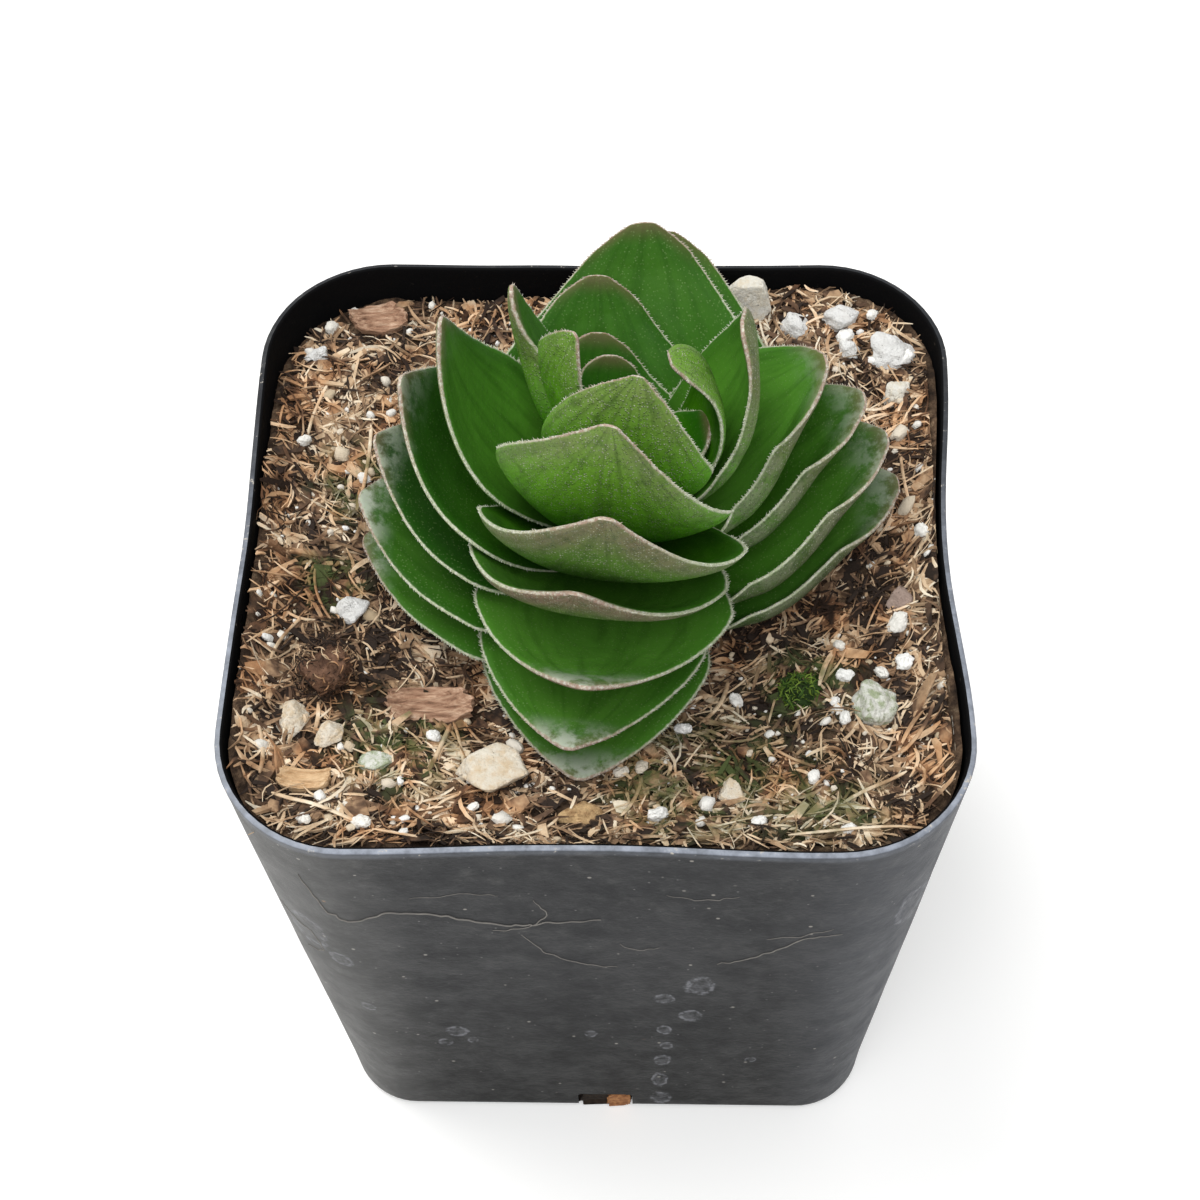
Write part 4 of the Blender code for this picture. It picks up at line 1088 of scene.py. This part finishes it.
def grow_hairs(line, inner, shares):
    """Adds hairs along a margin that point away from the line just inside it."""
    gaps = np.linalg.norm(np.diff(line, axis=0), axis=1)
    walked = np.concatenate([[0], np.cumsum(gaps)])
    count = int(walked[-1] / HAIR_GAP)
    at = (np.arange(count) + draw.uniform(0.2, 0.8, count)) * HAIR_GAP
    root, within = (np.stack([np.interp(at, walked, row[:, k]) for k in range(3)], -1) for row in (line, inner))
    out = unit(root - within)
    out = unit(out + draw.normal(0, 0.28, out.shape))
    across = unit(np.cross(out, (0.31, 0.55, 0.77)))
    beside = np.cross(out, across)
    width = HAIR_WIDTH * draw.uniform(0.6, 1.2, (count, 1))
    foot = root - out * 0.06
    tip = root + out * HAIR_LENGTH * draw.uniform(0.45, 1.25, (count, 1))
    ring = [foot + width * (math.cos(turn) * across + math.sin(turn) * beside) for turn in (0, 2.094, 4.189)]
    hair_corners.append(np.stack([*ring, tip], 1))
    hair_shares.append(np.interp(at, walked, shares))


# How much painted sheen each rank's tips have.
TIP_PAINTED_SHEEN = {"front": 0.9, "right": 0.55, "back": 0.0, "left": 0.9}
# Painted light (above 0) and painted shade (below 0) on each rank's upper faces, and how pink its undersides are,
# from the soil up.
LEAF_PAINTED_LIGHT = {"front": (0.5, 0.5, 0.85, 0.6, 0.1, 0.2, 0.0), "right": (0.1, 0.2, 0.1, 0.75, 0.6, 0.0, 0.0),
          "back": (0.0,) * 7, "left": (0.3, -0.15, -0.7, -0.4, 0.6, 0.5, 0.2)}
FLUSH = {"front": (0.8, 0.8, 1.0, 1.0, 0.75, 0.4, 0.4), "right": (0.3, 0.3, 0.4, 0.5, 0.5, 0.1, 0.1),
         "back": (0.7,) * 7, "left": (0.5, 0.6, 0.7, 0.7, 0.6, 0.6, 0.2)}
# Inner leaves that stand twisted about their own ribs, in degrees.
LEAF_TWISTS = {"leaf_14_left": 38, "leaf_10_right": -8, "leaf_12_right": 6, "leaf_12_left": 15}
for level, pair in enumerate(LEAF_PAIRS):
    for side, leaf_length, leaf_width, turn, extra in pair:
        node = f"leaf_{level + 1:02d}_{side}"
        leaf = start_piece(f"{side}_leaf_{level + 1:02d}", bpy.ops.mesh.primitive_grid_add,
                           x_subdivisions=LEAF_STEPS[0], y_subdivisions=LEAF_STEPS[1], size=2 * MM)
        drawn = corners_of(leaf)
        u, share = -drawn[:, 0], (drawn[:, 1] + 1) / 2
        # Rows crowd towards the tip, and the last one rounds it off.
        share = 1 - np.clip(1 - share, 0, 1) ** ROW_CROWDING
        share = share * 0.995 - 0.004 * share ** 12 * u ** 2
        to_tip = (1 - share) * leaf_length
        half_width = leaf_half_width(share, leaf_width)
        rounding = 2 * TIP_ROUNDING[side] * to_tip * np.clip((share - 0.6) / 0.3, 0, 1) ** 2
        half_width = np.sqrt(half_width ** 2 + rounding)
        if node == "leaf_10_right":      # an old nick in its front margin
            half_width = half_width - (u < 0) * 0.7 * np.exp(-((share - 0.5) * leaf_length / 0.45) ** 2)
        own = level * 3.7 + SIDES.index(side)
        rough = np.array([noise.noise(Vector((at * leaf_length / 0.9, edge_side * 5.0, own)))
                          for at, edge_side in zip(share, np.sign(u))])
        across = u * half_width + np.sign(u) * np.abs(u) ** 8 * MARGIN_ROUGHNESS * rough
        along = share * leaf_length

        def surface(more_along, more_across):
            return rosette_point(level, side, along + more_along, across + more_across, turn, extra)

        normal = unit(np.cross(surface(0.05, 0) - surface(-0.05, 0), surface(0, 0.05) - surface(0, -0.05)))
        twist = math.radians(LEAF_TWISTS.get(node, 0))
        inwards = upwards = 0.0
        if node in LEAF_CURLS:
            strip, radius, angle = LEAF_CURLS[node]
            forward = -u if side == "right" else u
            beyond = np.clip(strip - (1 - forward) * half_width, 0, None) * np.clip((share - 0.10) / 0.3, 0, 1)
            beyond *= np.clip(to_tip / 5.5, 0, 1) ** 0.8 * np.clip(forward * 4, 0, 1)
            bent = np.minimum(beyond / radius, math.radians(angle))
            straight_on = beyond - bent * radius
            inwards = beyond - radius * np.sin(bent) - straight_on * np.cos(bent)
            upwards = radius * (1 - np.cos(bent)) + straight_on * np.sin(bent)
        middle = surface(0, across * (math.cos(twist) - 1) - np.sign(u) * inwards)
        middle = middle + (across * math.sin(twist) + upwards)[:, None] * normal
        move_corners(leaf, middle)
        columns = len(np.unique(np.round(drawn[:, 0], 4)))
        sheet, row_shares = middle.reshape(-1, columns, 3), share.reshape(-1, columns)
        for outer, inner in ((0, 2), (-1, -3)):
            grow_hairs(*(rows[HAIRLESS_ROWS:] for rows in (sheet[:, outer], sheet[:, inner], row_shares[:, outer])))
        growth = np.sin(np.pi / 2 * np.clip(share / 0.5, 0, 1))
        thickness = (LEAF_BASE_THICKNESS + (LEAF_THICKNESS - LEAF_BASE_THICKNESS) * growth) / LEAF_THICKNESS
        scar = 0.0
        if node == "leaf_14_left":
            from_scar = ((share - 0.86) * leaf_length / 0.7) ** 2 + ((u - 0.45) * half_width / 0.35) ** 2
            scar = np.clip(1.6 * np.exp(-from_scar), 0, 1)
        edge = np.minimum((1 - np.abs(u)) * half_width, to_tip * 0.8)
        thickness *= MARGIN_SHARE + (1 - MARGIN_SHARE) * np.sqrt(1 - (1 - np.clip(edge / MARGIN_WIDTH, 0, 1)) ** 2)
        group = leaf.vertex_groups.new(name="thickness")
        for index, value in enumerate(thickness):
            group.add([index], float(value), "REPLACE")
        for name, values in (("share", share), ("across", u), ("edge", np.maximum(edge, 0)), ("youth", level / 13),
                             ("scar", scar), ("painted_light", LEAF_PAINTED_LIGHT[side][level // 2]), ("flush", FLUSH[side][level // 2]),
                             ("painted_sheen", TIP_PAINTED_SHEEN[side] * min(max(1.6 - level / 6, 0), 1))):
            values = np.broadcast_to(values, len(u)).astype(np.float32)
            leaf.data.attributes.new(name, "FLOAT", "POINT").data.foreach_set("value", values)
        for finish in (upper_face, underside, margin):
            leaf.data.materials.append(finish.material)
        apply_modifier(leaf, "SOLIDIFY", thickness=LEAF_THICKNESS * MM, offset=0, vertex_group="thickness",
                       thickness_vertex_group=0.0, material_offset=1, material_offset_rim=2, use_even_offset=False)
        apply_modifier(leaf, "SUBSURF", levels=1, render_levels=1)
        select_only(leaf)
        bpy.ops.object.shade_smooth()
        settle(leaf, "leaf", stands_for=node)

reach = np.array(packed_box) / MM
hair_corners = np.clip(np.concatenate(hair_corners), reach[0] + 0.02, reach[1] - 0.02)
first = np.arange(len(hair_corners))[:, None] * 4
hair_faces = np.concatenate([first + (0, 1, 3), first + (1, 2, 3), first + (2, 0, 3), first + (2, 1, 0)])
hairs = build_piece("leaf_margin_hairs", hair_corners, hair_faces, "share", np.repeat(np.concatenate(hair_shares), 4))
smooth(hairs, 80)
settle(hairs, "leaf", margin)

# ---------------------------------------------------------------- studio
# A plain pale floor, soft light from above with a little more from behind on the left, and the camera.
floor = start_piece("studio_floor", bpy.ops.mesh.primitive_plane_add, size=6.0, location=(0, 0, -0.00002))
paper = Finish("white_paper")
paper.set(Base_Color=(0.93, 0.93, 0.92), Roughness=0.95, Specular_IOR_Level=0.1, Emission_Color=(1.0, 1.0, 0.99),
          Emission_Strength=0.22)
floor.data.materials.append(paper.material)

world = bpy.data.worlds.new("studio")
world.use_nodes = True
world.node_tree.nodes["Background"].inputs["Color"].default_value = (1.0, 1.0, 1.0, 1)
world.node_tree.nodes["Background"].inputs["Strength"].default_value = 0.55
bpy.context.scene.world = world
bpy.context.scene.view_settings.view_transform = "Standard"


def soft_light(name, place, target, size, power, colour=(1, 1, 1)):
    lamp = bpy.data.lights.new(name, "AREA")
    lamp.shape = "DISK"
    lamp.size = size
    lamp.energy = power
    lamp.color = colour
    holder = bpy.data.objects.new(name, lamp)
    holder.location = place
    holder.rotation_euler = (Vector(target) - Vector(place)).to_track_quat("-Z", "Y").to_euler()
    bpy.context.scene.collection.objects.link(holder)


soft_light("key_light", (-0.24, 0.16, 0.62), (0, 0, 0.06), 0.45, 2.5, (1.0, 0.985, 0.96))
soft_light("front_light", (0.02, -0.30, 0.60), (0, 0, 0.05), 0.45, 2.0, (0.98, 0.985, 1.0))

CAMERA_TARGET = Vector((0.23, -6.16, 59.0))
CAMERA_DISTANCE = 188.0
CAMERA_AZIMUTH, CAMERA_ELEVATION, CAMERA_ROLL = 2.766, 55.956, -1.935
LENS = 73.06
azimuth, elevation, roll = (math.radians(angle) for angle in (CAMERA_AZIMUTH, CAMERA_ELEVATION, CAMERA_ROLL))
level_reach = math.cos(elevation)
back = Vector((math.sin(azimuth) * level_reach, -math.cos(azimuth) * level_reach, math.sin(elevation)))
right = (-back).cross(Vector((0, 0, 1))).normalized()
upright = right.cross(-back)
turned_right = math.cos(roll) * right + math.sin(roll) * upright
turned_up = -math.sin(roll) * right + math.cos(roll) * upright
lens = bpy.data.cameras.new("camera")
lens.lens = LENS
lens.sensor_width = 36
lens.clip_start, lens.clip_end = 0.01, 20
camera = bpy.data.objects.new("camera", lens)
place = (CAMERA_TARGET + back * CAMERA_DISTANCE) * MM
camera.matrix_world = Matrix.Translation(place) @ Matrix((turned_right, turned_up, back)).transposed().to_4x4()
bpy.context.scene.collection.objects.link(camera)
bpy.context.scene.camera = camera
